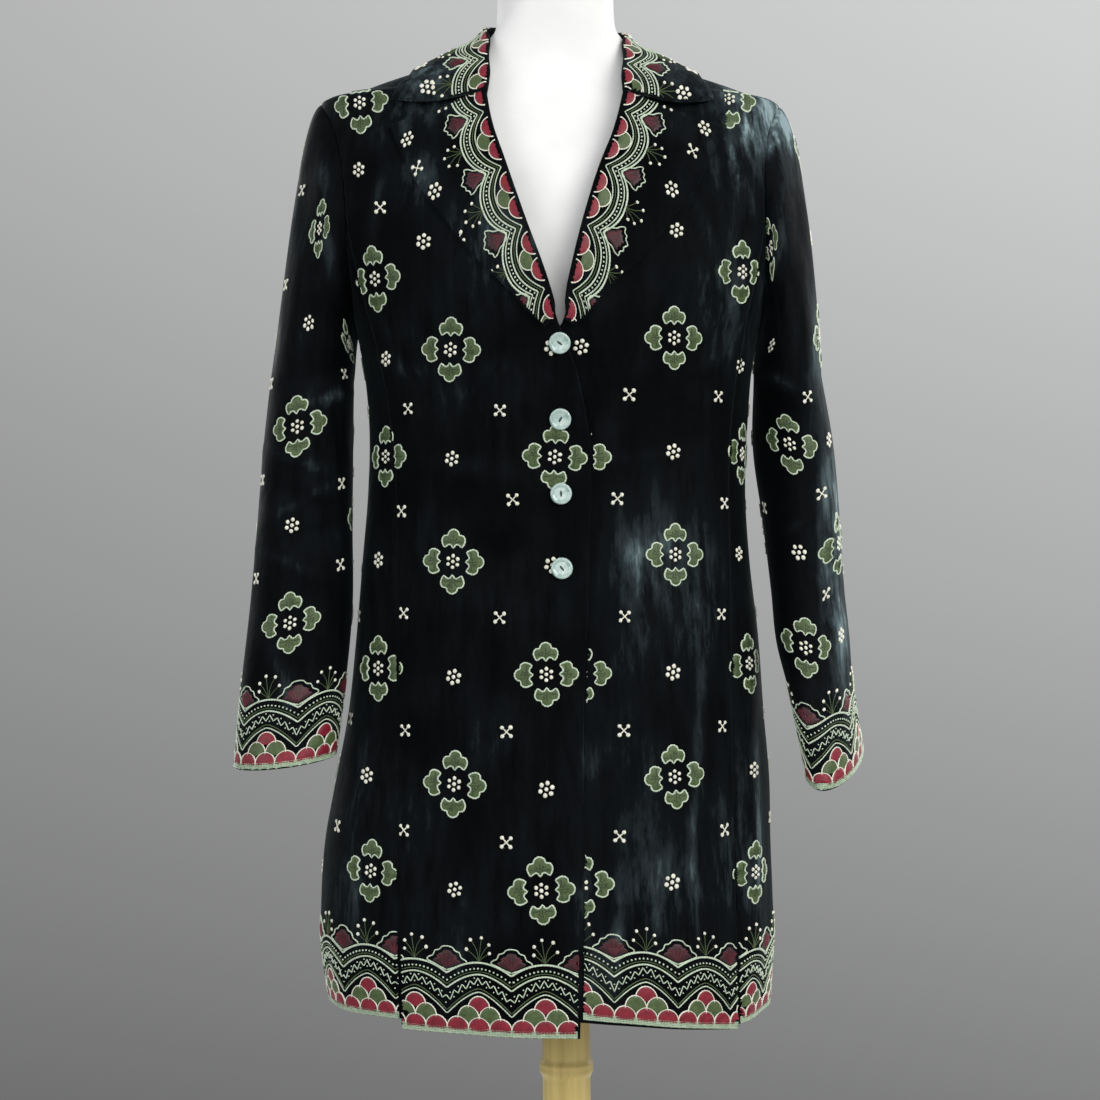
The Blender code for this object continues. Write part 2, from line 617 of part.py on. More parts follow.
def form():
    """The dress form: a torso with flat arm plates, under the cloth, and its neck."""
    half = np.linspace(0.0, math.pi, COLUMNS_BACK + 1)[:-1] - math.pi / 2
    angles = np.concatenate([half, half + math.pi])
    rings = []
    for rise, inset in FORM_FOOT:
        rings.append(form_ring(FORM_BOTTOM + rise, angles, inset))
    for level in (*FORM_LEVELS, *LEVELS_SHOULDER):
        rings.append(form_ring(level, angles, 0.0))
    for height, wide, deep in FORM_NECK:
        rings.append(np.stack([
            wide * np.sin(angles), 0.001 - deep * np.cos(angles), np.full(len(angles), height),
        ], axis=-1))
    mesh = bmesh.new()
    skins = [[mesh.verts.new(p) for p in ring] for ring in rings]
    for low, high in zip(skins, skins[1:]):
        for k in range(len(angles)):
            n = (k + 1) % len(angles)
            mesh.faces.new((low[k], low[n], high[n], high[k]))
    mesh.faces.new(list(reversed(skins[0])))
    mesh.faces.new(skins[-1])
    finish("form_torso", mesh, FORM_WHITE)


def form_ring(level, angles, inset):
    """A ring of the torso, inside the cloth, and touching it only along the shoulders."""
    shoulder = np.clip((level - FORM_EASE_ENDS[0]) / (FORM_EASE_ENDS[1] - FORM_EASE_ENDS[0]), 0.0, 1.0)
    ease = mix(FORM_EASE_MIDDLE, FORM_EASE_MIDDLE * np.cos(angles) ** 2, shoulder)
    ring = body(level, angles, -(WALL + FORM_REST + ease + inset))
    ring[:, 0] = np.clip(ring[:, 0], -ARM_PLATE, ARM_PLATE)
    if inset:
        ring[:, 2] = level
    return ring


def stand():
    """The pole with its raised rings, and the round base."""
    base = [
        (0.0, 0.0), (BASE_RADIUS - 0.004, 0.0), (BASE_RADIUS, 0.004),
        (BASE_RADIUS, BASE_HEIGHT - 0.010), (BASE_RADIUS - 0.006, BASE_HEIGHT - 0.002),
        (BASE_RADIUS - 0.014, BASE_HEIGHT), (0.0, BASE_HEIGHT),
    ]
    turned("stand_base", base, WOOD, sides=40)
    pole = [(0.0, BASE_HEIGHT + TOUCH_GAP), (POLE_RADIUS, BASE_HEIGHT + TOUCH_GAP)]
    for height in POLE_NODES:
        pole += [
            (POLE_RADIUS, height - 0.008), (POLE_NODE_RADIUS, height - 0.004),
            (POLE_NODE_RADIUS, height + 0.003), (POLE_RADIUS, height + 0.007),
        ]
    pole += [(POLE_RADIUS, POLE_TOP), (0.0, POLE_TOP)]
    turned("stand_pole", pole, WOOD, sides=24)


def main():
    for obj in list(bpy.data.objects):
        bpy.data.objects.remove(obj, do_unlink=True)
    front(-1, "front_right")
    front(1, "front_left")
    side_panel(-1, "side_right")
    side_panel(1, "side_left")
    back("back")
    sleeve("sleeve_right", SLEEVE_RIGHT)
    sleeve("sleeve_left", SLEEVE_LEFT)
    lapel(-1, "lapel_right")
    lapel(1, "lapel_left")
    collar("collar")
    for number in range(BUTTON_COUNT):
        button(number)
    form()
    stand()


main()
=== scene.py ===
"""The looks of the embroidered velvet jacket, its dress form and its stand.

Metres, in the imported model's frame: +Z up, the jacket faces -Y, so the wearer's right is at -X.
The cloth's shape comes from the same tables as the solids, on a finer grid and with its creases.
Embroidery is drawn flat, as chain stitches, satin leaves and knots, and laid on the cloth.
"""

import math

import bpy
import numpy as np
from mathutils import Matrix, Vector


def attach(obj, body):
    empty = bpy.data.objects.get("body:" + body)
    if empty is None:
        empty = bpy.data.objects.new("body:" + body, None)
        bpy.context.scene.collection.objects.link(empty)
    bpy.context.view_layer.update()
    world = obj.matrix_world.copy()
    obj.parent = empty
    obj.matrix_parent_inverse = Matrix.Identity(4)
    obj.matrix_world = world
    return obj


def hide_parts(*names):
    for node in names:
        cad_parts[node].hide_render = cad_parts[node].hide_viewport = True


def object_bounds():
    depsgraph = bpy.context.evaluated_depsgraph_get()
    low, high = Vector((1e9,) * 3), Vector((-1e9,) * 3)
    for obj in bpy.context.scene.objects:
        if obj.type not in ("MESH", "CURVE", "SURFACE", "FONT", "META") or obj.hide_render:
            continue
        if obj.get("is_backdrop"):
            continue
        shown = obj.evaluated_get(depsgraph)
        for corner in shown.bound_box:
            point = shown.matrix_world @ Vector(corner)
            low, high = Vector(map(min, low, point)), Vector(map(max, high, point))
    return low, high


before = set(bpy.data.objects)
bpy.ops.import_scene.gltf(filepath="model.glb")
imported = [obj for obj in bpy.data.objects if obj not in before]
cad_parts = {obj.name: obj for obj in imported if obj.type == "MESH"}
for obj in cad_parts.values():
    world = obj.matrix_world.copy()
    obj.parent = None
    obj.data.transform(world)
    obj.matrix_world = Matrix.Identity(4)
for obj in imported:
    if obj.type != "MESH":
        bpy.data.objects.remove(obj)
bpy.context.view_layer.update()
rng = np.random.default_rng(11)


# Cloth and seams
WALL = 0.0020
SEAM_GAP_ANGLE = 0.0016
LEFT_DROP = 0.0065
OVERLAP_OUT = 0.0026
OVERLAP_NEAR = 0.046
OVERLAP_FAR = 0.075
OVERLAP_FADE = 0.026
LIE_ON = 0.0011
ROOT_GAP = 0.0006

# Levels where the cut changes
UNDERARM = 1.100
SIDE_ROWS_END = 1.080
SEAM_TOP = 1.190
SHOULDER_TIP = 1.3085
NECK = 1.450
BREAK = 1.097

# The armholes, as an egg seen from the side
ARMHOLE_DEPTH_FRONT = 0.062
ARMHOLE_DEPTH_BACK = 0.066

# Buttons, down the middle of the front
BUTTON_RADIUS = 0.0092
BUTTON_THICKNESS = 0.0034
BUTTON_TOP_HEIGHT = 1.0815
BUTTON_PITCH = 0.0635
BUTTON_COUNT = 4

# The dress form and its stand
FORM_REST = 0.0006
FORM_EASE_MIDDLE = 0.0115
FORM_EASE_ENDS = (1.300, 1.330)
ARM_PLATE = 0.186
FORM_BOTTOM = 0.742
POLE_RADIUS = 0.0215
POLE_NODE_RADIUS = 0.0245
POLE_NODES = (0.133, 0.288, 0.443, 0.598)
POLE_TOP = 0.7415
BASE_RADIUS = 0.185
BASE_HEIGHT = 0.032
TOUCH_GAP = 0.0003

# Body: level, height, half width right, half width left, depth front, depth back, squareness
BODY = np.array([
    (0.490, 0.490, 0.2075, 0.1810, 0.1400, 0.1500, 2.25),
    (0.530, 0.530, 0.2150, 0.1845, 0.1390, 0.1490, 2.25),
    (0.560, 0.560, 0.2188, 0.1870, 0.1370, 0.1470, 2.25),
    (0.600, 0.600, 0.2183, 0.1862, 0.1340, 0.1430, 2.25),
    (0.650, 0.650, 0.2145, 0.1848, 0.1310, 0.1380, 2.25),
    (0.700, 0.700, 0.2050, 0.1845, 0.1270, 0.1320, 2.25),
    (0.760, 0.760, 0.1930, 0.1800, 0.1220, 0.1250, 2.25),
    (0.830, 0.830, 0.1845, 0.1756, 0.1170, 0.1160, 2.28),
    (0.900, 0.900, 0.1780, 0.1685, 0.1110, 0.1050, 2.30),
    (0.960, 0.960, 0.1725, 0.1657, 0.1070, 0.0970, 2.30),
    (1.020, 1.020, 0.1708, 0.1685, 0.1110, 0.0970, 2.32),
    (1.080, 1.080, 0.1765, 0.1745, 0.1210, 0.1040, 2.35),
    (1.130, 1.130, 0.1875, 0.1860, 0.1260, 0.1100, 2.40),
    (1.180, 1.180, 0.1995, 0.1960, 0.1220, 0.1120, 2.45),
    (1.230, 1.230, 0.2075, 0.2010, 0.1090, 0.1080, 2.50),
    (1.280, 1.280, 0.2112, 0.2015, 0.0890, 0.0960, 2.50),
    (1.3085, 1.3085, 0.2100, 0.1990, 0.0760, 0.0860, 2.50),
    (1.330, 1.3135, 0.1870, 0.1820, 0.0710, 0.0820, 2.48),
    (1.360, 1.3240, 0.1570, 0.1550, 0.0660, 0.0770, 2.40),
    (1.395, 1.3355, 0.1220, 0.1210, 0.0600, 0.0700, 2.30),
    (1.425, 1.3455, 0.0960, 0.0960, 0.0550, 0.0640, 2.15),
    (1.450, 1.3555, 0.0750, 0.0750, 0.0520, 0.0600, 2.00),
    (1.465, 1.3665, 0.0655, 0.0655, 0.0520, 0.0580, 2.00),
    (1.480, 1.3800, 0.0585, 0.0585, 0.0530, 0.0565, 2.00),
    (1.500, 1.3980, 0.0560, 0.0560, 0.0530, 0.0560, 2.00),
])

# Soft folds of the skirt and back: angle at the top, angle at the hem, upper level, spread, depth
FOLDS = (
    (-118.0, -128.0, 0.90, 9.0, 0.0060),
    (-92.0, -97.0, 0.86, 8.0, -0.0040),
    (-63.0, -60.0, 0.88, 9.0, 0.0035),
    (-20.0, -24.0, 0.80, 8.0, -0.0025),
    (24.0, 28.0, 0.86, 9.0, 0.0030),
    (66.0, 70.0, 0.84, 8.0, -0.0030),
    (104.0, 112.0, 0.90, 10.0, 0.0050),
    (138.0, 142.0, 0.94, 9.0, -0.0060),
    (162.0, 160.0, 0.90, 9.0, 0.0055),
    (187.0, 190.0, 0.94, 9.0, -0.0055),
    (212.0, 214.0, 0.90, 9.0, 0.0060),
)

# Front edge below the break, roll line and neck edge above it: level, distance from the middle.
# Below the break the right front laps over the left one, past the middle.
EDGE_RIGHT = np.array([
    (0.490, -0.0105), (0.560, -0.0125), (0.680, -0.0153), (0.780, -0.0171), (0.866, -0.0216),
    (0.966, -0.0251), (1.000, -0.0247), (1.025, -0.0207), (1.062, -0.0126), (1.097, 0.0000),
    (1.142, 0.0136), (1.185, 0.0290), (1.240, 0.0471), (1.276, 0.0585), (1.300, 0.0630),
    (1.330, 0.0655), (1.360, 0.0680), (1.395, 0.0695), (1.425, 0.0712), (1.450, 0.0733),
])
EDGE_LEFT = np.array([
    (0.490, -0.0220), (1.050, -0.0220), (1.070, -0.0170), (1.097, 0.0015), (1.1336, 0.0095),
    (1.185, 0.0225), (1.234, 0.0377), (1.264, 0.0494), (1.300, 0.0600), (1.330, 0.0650),
    (1.360, 0.0680), (1.395, 0.0695), (1.425, 0.0712), (1.450, 0.0733),
])

# Seam between front and side: level, distance from the middle, for the right and the left
SEAM_FRONT = np.array([
    (0.490, 0.1405, 0.1490), (0.600, 0.1420, 0.1490), (0.760, 0.1420, 0.1485),
    (0.900, 0.1430, 0.1480), (1.000, 0.1465, 0.1495), (1.080, 0.1590, 0.1590),
    (1.130, 0.1720, 0.1700),
])
# Seam between side and back: level, angle from the middle of the front
SEAM_BACK = np.array([
    (0.490, 126.0), (0.760, 124.0), (0.960, 121.0), (1.080, 118.0), (1.130, 116.0),
])

# Lower edge of each panel, at its edge nearer the front middle and at its far edge
HEM = {
    "front_right": (0.4996, 0.5030),
    "front_left": (0.5150, 0.4945),
    "side_right": (0.5110, 0.5110),
    "side_left": (0.4985, 0.5080),
    "back": (0.5080, 0.5080),
}

# Outer edge of the lapel: height, distance from the middle
LAPEL_EDGE = np.array([
    (1.0900, 0.0060), (1.1043, 0.0225), (1.1243, 0.0400), (1.1595, 0.0745), (1.1900, 0.0975),
    (1.2213, 0.1200), (1.2500, 0.1335), (1.2760, 0.1447),
])
# Heights of the lapel's lower and upper end, at its roll line and at its outer edge
LAPEL_FOOT = (1.1020, 1.0960)
LAPEL_HEAD = (1.2965, 1.2745)
ROLL_HEIGHT = 0.0036
ROLL_WIDTH = 0.014
ROLL_INSET = 0.0008

# Collar: share from the back middle to the notch; level, angle and distance out of its
# neck seam, its fold and its outer edge; how far its fall stands off between the last two
COLLAR = np.array([
    (0.00, 1.4510, 180.0, 0.0004, 1.4880, 180.0, 0.0032, 1.3400, 180.0, 0.0018, 0.0050),
    (0.20, 1.4510, 152.0, 0.0004, 1.4870, 152.0, 0.0032, 1.3450, 150.0, 0.0018, 0.0050),
    (0.40, 1.4510, 118.0, 0.0004, 1.4830, 118.0, 0.0032, 1.3780, 118.0, 0.0020, 0.0042),
    (0.55, 1.4510, 90.0, 0.0004, 1.4740, 90.0, 0.0034, 1.4030, 90.0, 0.0022, 0.0036),
    (0.68, 1.4480, 57.0, -0.0004, 1.4590, 56.0, 0.0038, 1.3850, 68.0, 0.0024, 0.0036),
    (0.80, 1.4130, 33.5, -0.0045, 1.4120, 32.0, 0.0042, 1.3600, 50.0, 0.0028, 0.0028),
    (0.90, 1.3530, 17.0, -0.0060, 1.3530, 16.6, 0.0042, 1.3350, 42.0, 0.0030, 0.0024),
    (1.00, 1.3000, 11.6, -0.0060, 1.3010, 11.4, 0.0042, 1.2985, 35.6, 0.0020, 0.0018),
])
COLLAR_DIP = 0.0070
COLLAR_DIP_FROM = 0.86
COLLAR_FALL_SHARES = (0.12, 0.3, 0.5, 0.75, 1.0)

# Sleeves: height of the ring's middle, its x and y, half width, half depth, how much the ring
# rises towards +Y and towards +X, and how far it slants towards +X from front to back. The right
# sleeve hangs open, and the left one edge-on with its inner side turned to the front.
SLEEVE_RIGHT = np.array([
    (0.7250, -0.2440, -0.0480, 0.0442, 0.0420, 0.07, 0.10, 0.00),
    (0.7900, -0.2378, -0.0350, 0.0462, 0.0440, 0.06, 0.06, 0.00),
    (0.8600, -0.2315, -0.0220, 0.0455, 0.0470, 0.05, 0.03, 0.00),
    (0.9300, -0.2290, -0.0100, 0.0424, 0.0520, 0.02, 0.00, 0.00),
    (1.0000, -0.2260, -0.0030, 0.0400, 0.0560, 0.00, 0.00, 0.00),
    (1.0600, -0.2222, 0.0010, 0.0370, 0.0600, 0.00, 0.00, 0.00),
])
SLEEVE_LEFT = np.array([
    (0.7200, 0.2370, -0.0560, 0.0225, 0.0540, 0.36, 0.00, 0.32),
    (0.7900, 0.2270, -0.0400, 0.0275, 0.0550, 0.26, 0.00, 0.26),
    (0.8250, 0.2222, -0.0320, 0.0318, 0.0555, 0.20, 0.00, 0.22),
    (0.8700, 0.2188, -0.0230, 0.0325, 0.0560, 0.13, 0.00, 0.16),
    (0.9300, 0.2150, -0.0120, 0.0345, 0.0580, 0.05, 0.00, 0.08),
    (1.0000, 0.2090, -0.0030, 0.0355, 0.0600, 0.00, 0.00, 0.00),
    (1.0600, 0.2053, 0.0010, 0.0297, 0.0630, 0.00, 0.00, 0.00),
])
CAP_START = 0.075
CAP_END = 0.42
CAP_FALL = 0.35
CAP_SWELL = 0.35
ARM_LEAN = {-1: 0.154, 1: -0.030}

# Rounded bottom of the form: how far above its lowest point, how far in from its side
FORM_FOOT = ((0.0, 0.060), (0.002, 0.042), (0.010, 0.022), (0.030, 0.008))
# Neck of the form: height, half width, half depth
FORM_NECK = (
    (1.3640, 0.0590, 0.0480), (1.3720, 0.0545, 0.0480), (1.3880, 0.0525, 0.0490),
    (1.4150, 0.0520, 0.0495), (1.4390, 0.0515, 0.0495), (1.4430, 0.0490, 0.0475),
)

# Cloth shells: thickness, rounding of their edges, and how seams pull the pile down
CLOTH = 0.0017
EDGE_ROUND = 0.00025
SEAM_DIP = 0.0011
SEAM_WIDTH = 0.0036
PUCKER = 0.00035
PUCKER_WIDTH = 0.0100
PUCKER_PITCH = 0.0130
PUCKER_DRIFT = 9.0
PUCKER_DRIFT_RATE = 7.0
ROLL_RADIUS = 0.0030
# The lapel's roll: turns of its rows in degrees, and the share of its length where it starts
ROLL_TURNS = (80.0, 60.0, 40.0, 20.0)
ROLL_START = 0.08

# Rows and columns of the shells
ROWS_SKIRT = 118
ROWS_UNDERARM = 24
ROWS_ARMHOLE = 22
ROWS_SHOULDER = 26
COLUMNS_FRONT = 46
COLUMNS_SIDE = 34
COLUMNS_BACK = 96
SLEEVE_TURNS = 96
SLEEVE_CAP_ROWS = 36
SLEEVE_TUBE_ROWS = 76
LAPEL_ROWS = 84
LAPEL_COLUMNS = 36
COLLAR_COLUMNS = 130
COLLAR_REFINE = 6
COLLAR_SMOOTHING = 14
# The collar's ends are drawn out to the lapels' rolls, over this many columns
COLLAR_END_COLUMNS = 9
COLLAR_END_PULL = (-0.0040, -0.0030, -0.0022)
# The lapel's head rises to meet the collar over this share of its width, from this share up it
GORGE_SHARE = 0.55
GORGE_START = 0.80
GORGE_RISE = 0.0045
# The height of a ridge on which the pile is crushed all through, with a full painted highlight
RIDGE_HIGHLIGHT_HEIGHT = 0.0046
# The least crush along a cloth's cut edges: a painted highlight along their rims
EDGE_HIGHLIGHT = 0.62
# A sleeve's cap is tucked this far into its armhole; rows beside its ends where creases fade
CAP_TUCK = 0.0020
CAP_CALM_ROWS = 8
CUFF_CALM_ROWS = 4

# Creases fade out at their ends: the shares of the length kept, and the power of the fade
CREASE_ENDS = (0.04, 0.96)
CREASE_FADE = 0.6
# Half the distance over which normals are taken
NORMAL_STEP = 0.0008

# Creases in millimetres, seen from the front, on the front (-1) or the back (1) of a cloth: ends as
# x and height, width and depth; a positive depth is a ridge and a negative one a trough
CREASES = {
    ("body", -1): (
        (142, 1262, 156, 1230, 5, 3), (156, 1232, 168, 1190, 5, 3.4),
        (131, 1250, 150, 1196, 5.5, -2.2), (122, 1206, 138, 1104, 6, 2.2),
        (136, 1200, 151, 1102, 5.5, -2), (150, 1190, 160, 1120, 5, 2), (-150, 1240, -164, 1160, 7, 2),
        (-132, 1210, -150, 1110, 8, -1.6), (108, 1232, 124, 1168, 3.2, 1.6),
        (134, 1180, 142, 1090, 3, 1.6), (158, 1150, 163, 1060, 3, 1.4),
        (120, 1090, 128, 1010, 3.4, 1.2), (112, 1060, 172, 1085, 8, 1.6),
        (-110, 1056, -168, 1078, 8, 1.4), (128, 930, 100, 520, 8, 2.2), (147, 840, 146, 510, 7.5, -3),
        (163, 850, 170, 520, 8, 2.6), (-168, 860, -184, 520, 9, 1.4), (-120, 780, -112, 520, 11, -1.4),
        (52, 700, 36, 510, 8, 2.2), (4, 672, 12, 560, 4, 1.6), (30, 980, 110, 992, 7, 1.2),
        (-34, 972, -120, 986, 8, 1.2),
    ),
    ("body", 1): (
        (-80, 1300, -120, 1160, 10, 2.4), (78, 1296, 118, 1150, 10, 2.4),
        (-90, 1030, 20, 1012, 8.5, 1.8), (100, 1024, 0, 994, 8.5, 1.8), (-60, 986, 70, 978, 8, -1.6),
        (-60, 940, -82, 520, 12, 2.6), (20, 930, 12, 520, 11, -2.6), (86, 940, 108, 520, 12, 2.4),
    ),
    ("sleeve_right", -1): (
        (-188, 1068, -240, 1052, 6, -2.8), (-186, 1050, -232, 1030, 5.8, 2.4),
        (-262, 998, -200, 978, 6.2, 2.2), (-262, 972, -205, 946, 6, -3),
        (-196, 968, -256, 936, 6.4, 2.2), (-190, 930, -252, 914, 6, -2.6),
        (-268, 910, -206, 886, 6.5, 1.8), (-262, 850, -226, 760, 8, 2.2),
        (-206, 1260, -196, 1130, 8, 2.4), (-226, 1240, -214, 1120, 7.5, -2),
    ),
    ("sleeve_right", 1): (
        (-192, 1010, -256, 984, 7, 3), (-258, 964, -198, 950, 7, -2.6), (-194, 940, -260, 916, 7, 2.6),
        (-222, 1230, -214, 1110, 9, 2.4),
    ),
    ("sleeve_left", -1): (
        (213, 972, 231, 868, 7, -4.6), (231, 868, 229, 832, 6.5, -4), (226, 985, 243, 876, 6.5, 3),
        (178, 1062, 214, 1040, 6, 2.4), (182, 1036, 216, 1018, 5.8, -2.2),
        (196, 920, 220, 936, 6, 2.2), (222, 820, 250, 744, 7, 2.2), (196, 1250, 190, 1130, 7.5, 2.2),
        (214, 1230, 206, 1120, 7.5, -1.8),
    ),
    ("sleeve_left", 1): (
        (186, 1010, 238, 990, 7, 2.6), (240, 966, 190, 950, 7, -2.4), (190, 936, 244, 914, 7, 2.4),
    ),
}

# Crushed pile with painted sheen, paler in the base colour, in millimetres, seen from the front,
# on the front (-1) or the back (1) of the jacket: x, height, half width, half height and strength
CRUSHED_AND_SHEEN = {
    -1: (
        (75, 900, 40, 70, 0.66), (245, 900, 28, 150, 1), (238, 1060, 24, 110, 0.7),
        (190, 1280, 46, 46, 1), (165, 1305, 60, 26, 0.7), (-105, 1290, 45, 30, 0.42),
        (-100, 1330, 50, 26, 0.6), (100, 1330, 50, 24, 0.55), (-68, 1180, 45, 60, 0.34),
        (-112, 1225, 20, 30, 0.45), (150, 1130, 16, 80, 0.45), (66, 660, 40, 80, 0.48),
        (150, 720, 22, 180, 0.36), (20, 640, 16, 120, 0.4), (110, 900, 40, 110, 0.4),
        (-175, 700, 30, 150, 0.12), (-232, 960, 26, 100, 0.16), (-240, 1210, 30, 90, 0.3),
        (-120, 620, 40, 80, 0.22), (110, 1140, 45, 60, 0.25), (-100, 1130, 50, 60, 0.18),
    ),
    1: (
        (0, 1240, 110, 60, 0.35), (-100, 700, 40, 160, 0.4), (90, 660, 40, 170, 0.4),
        (235, 900, 30, 150, 0.6), (-235, 900, 30, 150, 0.45), (0, 860, 50, 100, 0.2),
    ),
}

# Thread dyes, dark and pale, as linear colours
DYES = (
    ("crimson", (0.095, 0.003, 0.010), (0.240, 0.010, 0.026)),
    ("burgundy", (0.008, 0.002, 0.004), (0.046, 0.005, 0.010)),
    ("sage", (0.024, 0.046, 0.013), (0.084, 0.122, 0.042)),
    ("moss", (0.010, 0.024, 0.008), (0.030, 0.056, 0.018)),
    ("cream", (0.330, 0.420, 0.300), (0.620, 0.700, 0.560)),
    ("edging", (0.200, 0.280, 0.190), (0.420, 0.510, 0.370)),
    ("knot", (0.520, 0.520, 0.420), (0.820, 0.810, 0.700)),
)

# Smooth form
FORM_SIDES = 96
FORM_ROWS = 44
FORM_SHOULDER_ROWS = 16
FORM_LOW_LEVEL = 0.80
FORM_TOP_LEVEL = 1.434
FORM_SMOOTHING = 40
FORM_NECK_BACK = 0.001

# Edge of the base, as distance in from its side and height; a raised ring of the pole, as
# radius and height from its middle
BASE_EDGE = (
    (0.001, 0.0), (0.0, 0.004), (0.0, BASE_HEIGHT - 0.012), (0.006, BASE_HEIGHT - 0.003),
    (0.016, BASE_HEIGHT),
)
POLE_RING = (
    (POLE_RADIUS, -0.009), (POLE_NODE_RADIUS, -0.004), (POLE_NODE_RADIUS - 0.0006, 0.0),
    (POLE_NODE_RADIUS, 0.003), (POLE_RADIUS, 0.008),
)
BASE_ROUNDING = 0.004
POLE_ROUNDING = 0.0025

# Buttons: profile as shares of the radius and the thickness, and the height of the dish; turn
# of each one's slit in degrees; rings of the thread in it, as share of its size and rise
BUTTON_DISH = 0.70
BUTTON_PROFILE = (
    (0.0, 0.0), (0.78, 0.0), (1.0, 0.34), (1.0, 0.74), (0.90, 1.0), (0.76, 0.94), (0.62, 0.74),
    (0.30, BUTTON_DISH), (0.0, BUTTON_DISH),
)
BUTTON_ROUNDING = 0.0008
BUTTON_LIFT = 0.0008
BUTTON_SLOPE_REACH = 0.008
BUTTON_TURNS = (-40.0, 62.0, 92.0, 128.0)
SLIT_LENGTH = 0.0064
SLIT_WIDTH = 0.0021
SLIT_RINGS = ((1.0, -0.0003), (0.8, 0.0002), (0.4, 0.0004))
# Colours of the thread in the buttons' slits, dark partly as painted shade of the sunken slot
BUTTON_SLIT_THREAD_AND_SHADE = ((0.010, 0.022, 0.018), (0.030, 0.060, 0.050))

# The camera, as the photograph was taken: place, turn about its axis, focal length in pixels
CAMERA_PLACE = (-0.0099, -1.9, 0.907)
CAMERA_ROLL = 0.6
FOCAL_PIXELS = 2111.0
PHOTO_PIXELS = 1100.0
SENSOR_WIDTH = 36.0

# Lights: name, place, aim, size, power and colour
LIGHTS = (
    ("key", (1.7, -1.7, 2.1), (0.0, 0.0, 0.95), (1.5, 1.5), 46.0, (1.0, 0.99, 0.97)),
    ("fill", (-2.0, -1.5, 1.6), (0.0, 0.0, 0.95), (1.6, 1.6), 24.0, (0.96, 0.98, 1.0)),
    ("front", (0.2, -2.6, 1.3), (0.0, 0.0, 0.90), (1.2, 1.6), 14.0, (1.0, 1.0, 1.0)),
    ("rim", (1.5, 1.4, 1.7), (0.1, 0.0, 0.95), (0.9, 1.6), 22.0, (1.0, 1.0, 1.0)),
    ("back", (-1.4, 1.7, 1.7), (0.0, 0.0, 0.95), (1.2, 1.4), 22.0, (1.0, 1.0, 1.0)),
)
# Floor: radius and drop of its rings
FLOOR_RADIUS = 1.45
FLOOR_RINGS = ((0.05, 0.0), (FLOOR_RADIUS - 0.02, 0.0), (FLOOR_RADIUS, 0.004), (FLOOR_RADIUS, 0.02))
FLOOR_DROP = 0.0005
# Brightness of the air behind, from below to above, and from the left to the right, over this
# reach of the direction to each side
AIR_REACH = 0.27
AIR = (
    (0.00, 0.172), (0.20, 0.256), (0.33, 0.306), (0.46, 0.360), (0.59, 0.405), (0.72, 0.462),
    (0.84, 0.515), (0.96, 0.556),
)
AIR_SIDES = (0.815, 1.185)

# Stitches, in millimetres: step and unevenness of a chain, how deep its edges sink
STITCH = 1.25
BEAD = 0.13
SUNK = 0.25
THREADS = ("crimson", "burgundy", "sage", "moss", "cream", "edging", "knot")
# Steps along a border's lines and its edging, spacing of its dots, and spare length at its end
LINE_STEP = 1.2
EDGING_STEP = 1.25
DOT_PITCH = 3.4
LINE_SPARE = 0.6
# How far stitches keep, in metres, from a cloth's edge, the lapel's edge and foot, and the
# armhole
EDGE_MARGIN = 0.0010
LAPEL_MARGIN = 0.001
LAPEL_FOOT_MARGIN = 0.006
ARMHOLE_MARGIN = 0.003

# Charts of the cloth, in metres and degrees
RING_STEP = 0.004
RING_TURNS = (-150, 251)
ROUND_LOW = -0.560
ROUND_HIGH = 0.960
ROUND_STEP = 0.0015
CHART_STEP = 0.002

# Half of a petal's outline from its outer corner to its tip, the inner edge, and its veins
PETAL = (
    (-7.6, 12.0), (-9.6, 15.0), (-10.2, 18.4), (-8.4, 21.4), (-5.0, 21.9), (-4.3, 24.4),
    (-2.2, 26.2), (0.0, 26.8),
)
PETAL_FOOT = ((5.0, 14.0), (2.2, 14.2), (0.0, 11.4), (-2.2, 14.2), (-5.0, 14.0))
PETAL_VEINS = (
    ((0.0, 14.6), (0.2, 18.0), (0.0, 22.0)), ((-1.6, 15.6), (-4.2, 16.6), (-7.8, 16.4)),
    ((1.6, 15.6), (4.2, 16.6), (7.8, 16.4)), ((-1.2, 17.0), (-2.6, 18.4), (-3.2, 19.6)),
    ((1.2, 17.0), (2.6, 18.4), (3.2, 19.6)),
)

# Half of a lapel bud's outline from its foot to its tip
TULIP = (
    (0.0, 0.0), (-3.6, 0.4), (-6.6, 4.6), (-8.4, 9.6), (-11.6, 13.2), (-12.6, 17.4),
    (-8.6, 17.6), (-6.6, 20.6), (-3.4, 20.4), (0.0, 23.6),
)
TULIP_VEINS = (
    ((0.0, 2.0), (-0.3, 8.0), (0.0, 16.0)), ((-1.0, 3.4), (-3.4, 8.0), (-4.4, 13.4)),
    ((1.0, 3.4), (3.4, 8.0), (4.4, 13.4)), ((-2.0, 6.0), (-5.4, 10.0), (-8.2, 13.0)),
    ((2.0, 6.0), (5.4, 10.0), (8.2, 13.0)),
)

# Half of the bud's outline from its foot to its tip, and its veins
LOTUS = (
    (0.0, 0.0), (-6.0, 2.2), (-12.0, 4.8), (-18.0, 7.2), (-16.4, 9.6), (-12.8, 11.4),
    (-11.0, 15.4), (-7.2, 16.6), (-4.6, 19.4), (0.0, 20.2),
)
LOTUS_VEINS = (
    ((0.0, 2.0), (-0.4, 9.0), (0.0, 17.5)), ((-1.5, 3.4), (-4.0, 9.0), (-4.6, 14.6)),
    ((1.5, 3.4), (4.0, 9.0), (4.6, 14.6)), ((-3.2, 4.6), (-8.0, 9.6), (-12.4, 12.8)),
    ((3.2, 4.6), (8.0, 9.6), (12.4, 12.8)), ((-2.2, 7.6), (-5.6, 10.8), (-8.4, 13.6)),
    ((2.2, 7.6), (5.6, 10.8), (8.4, 13.6)),
)

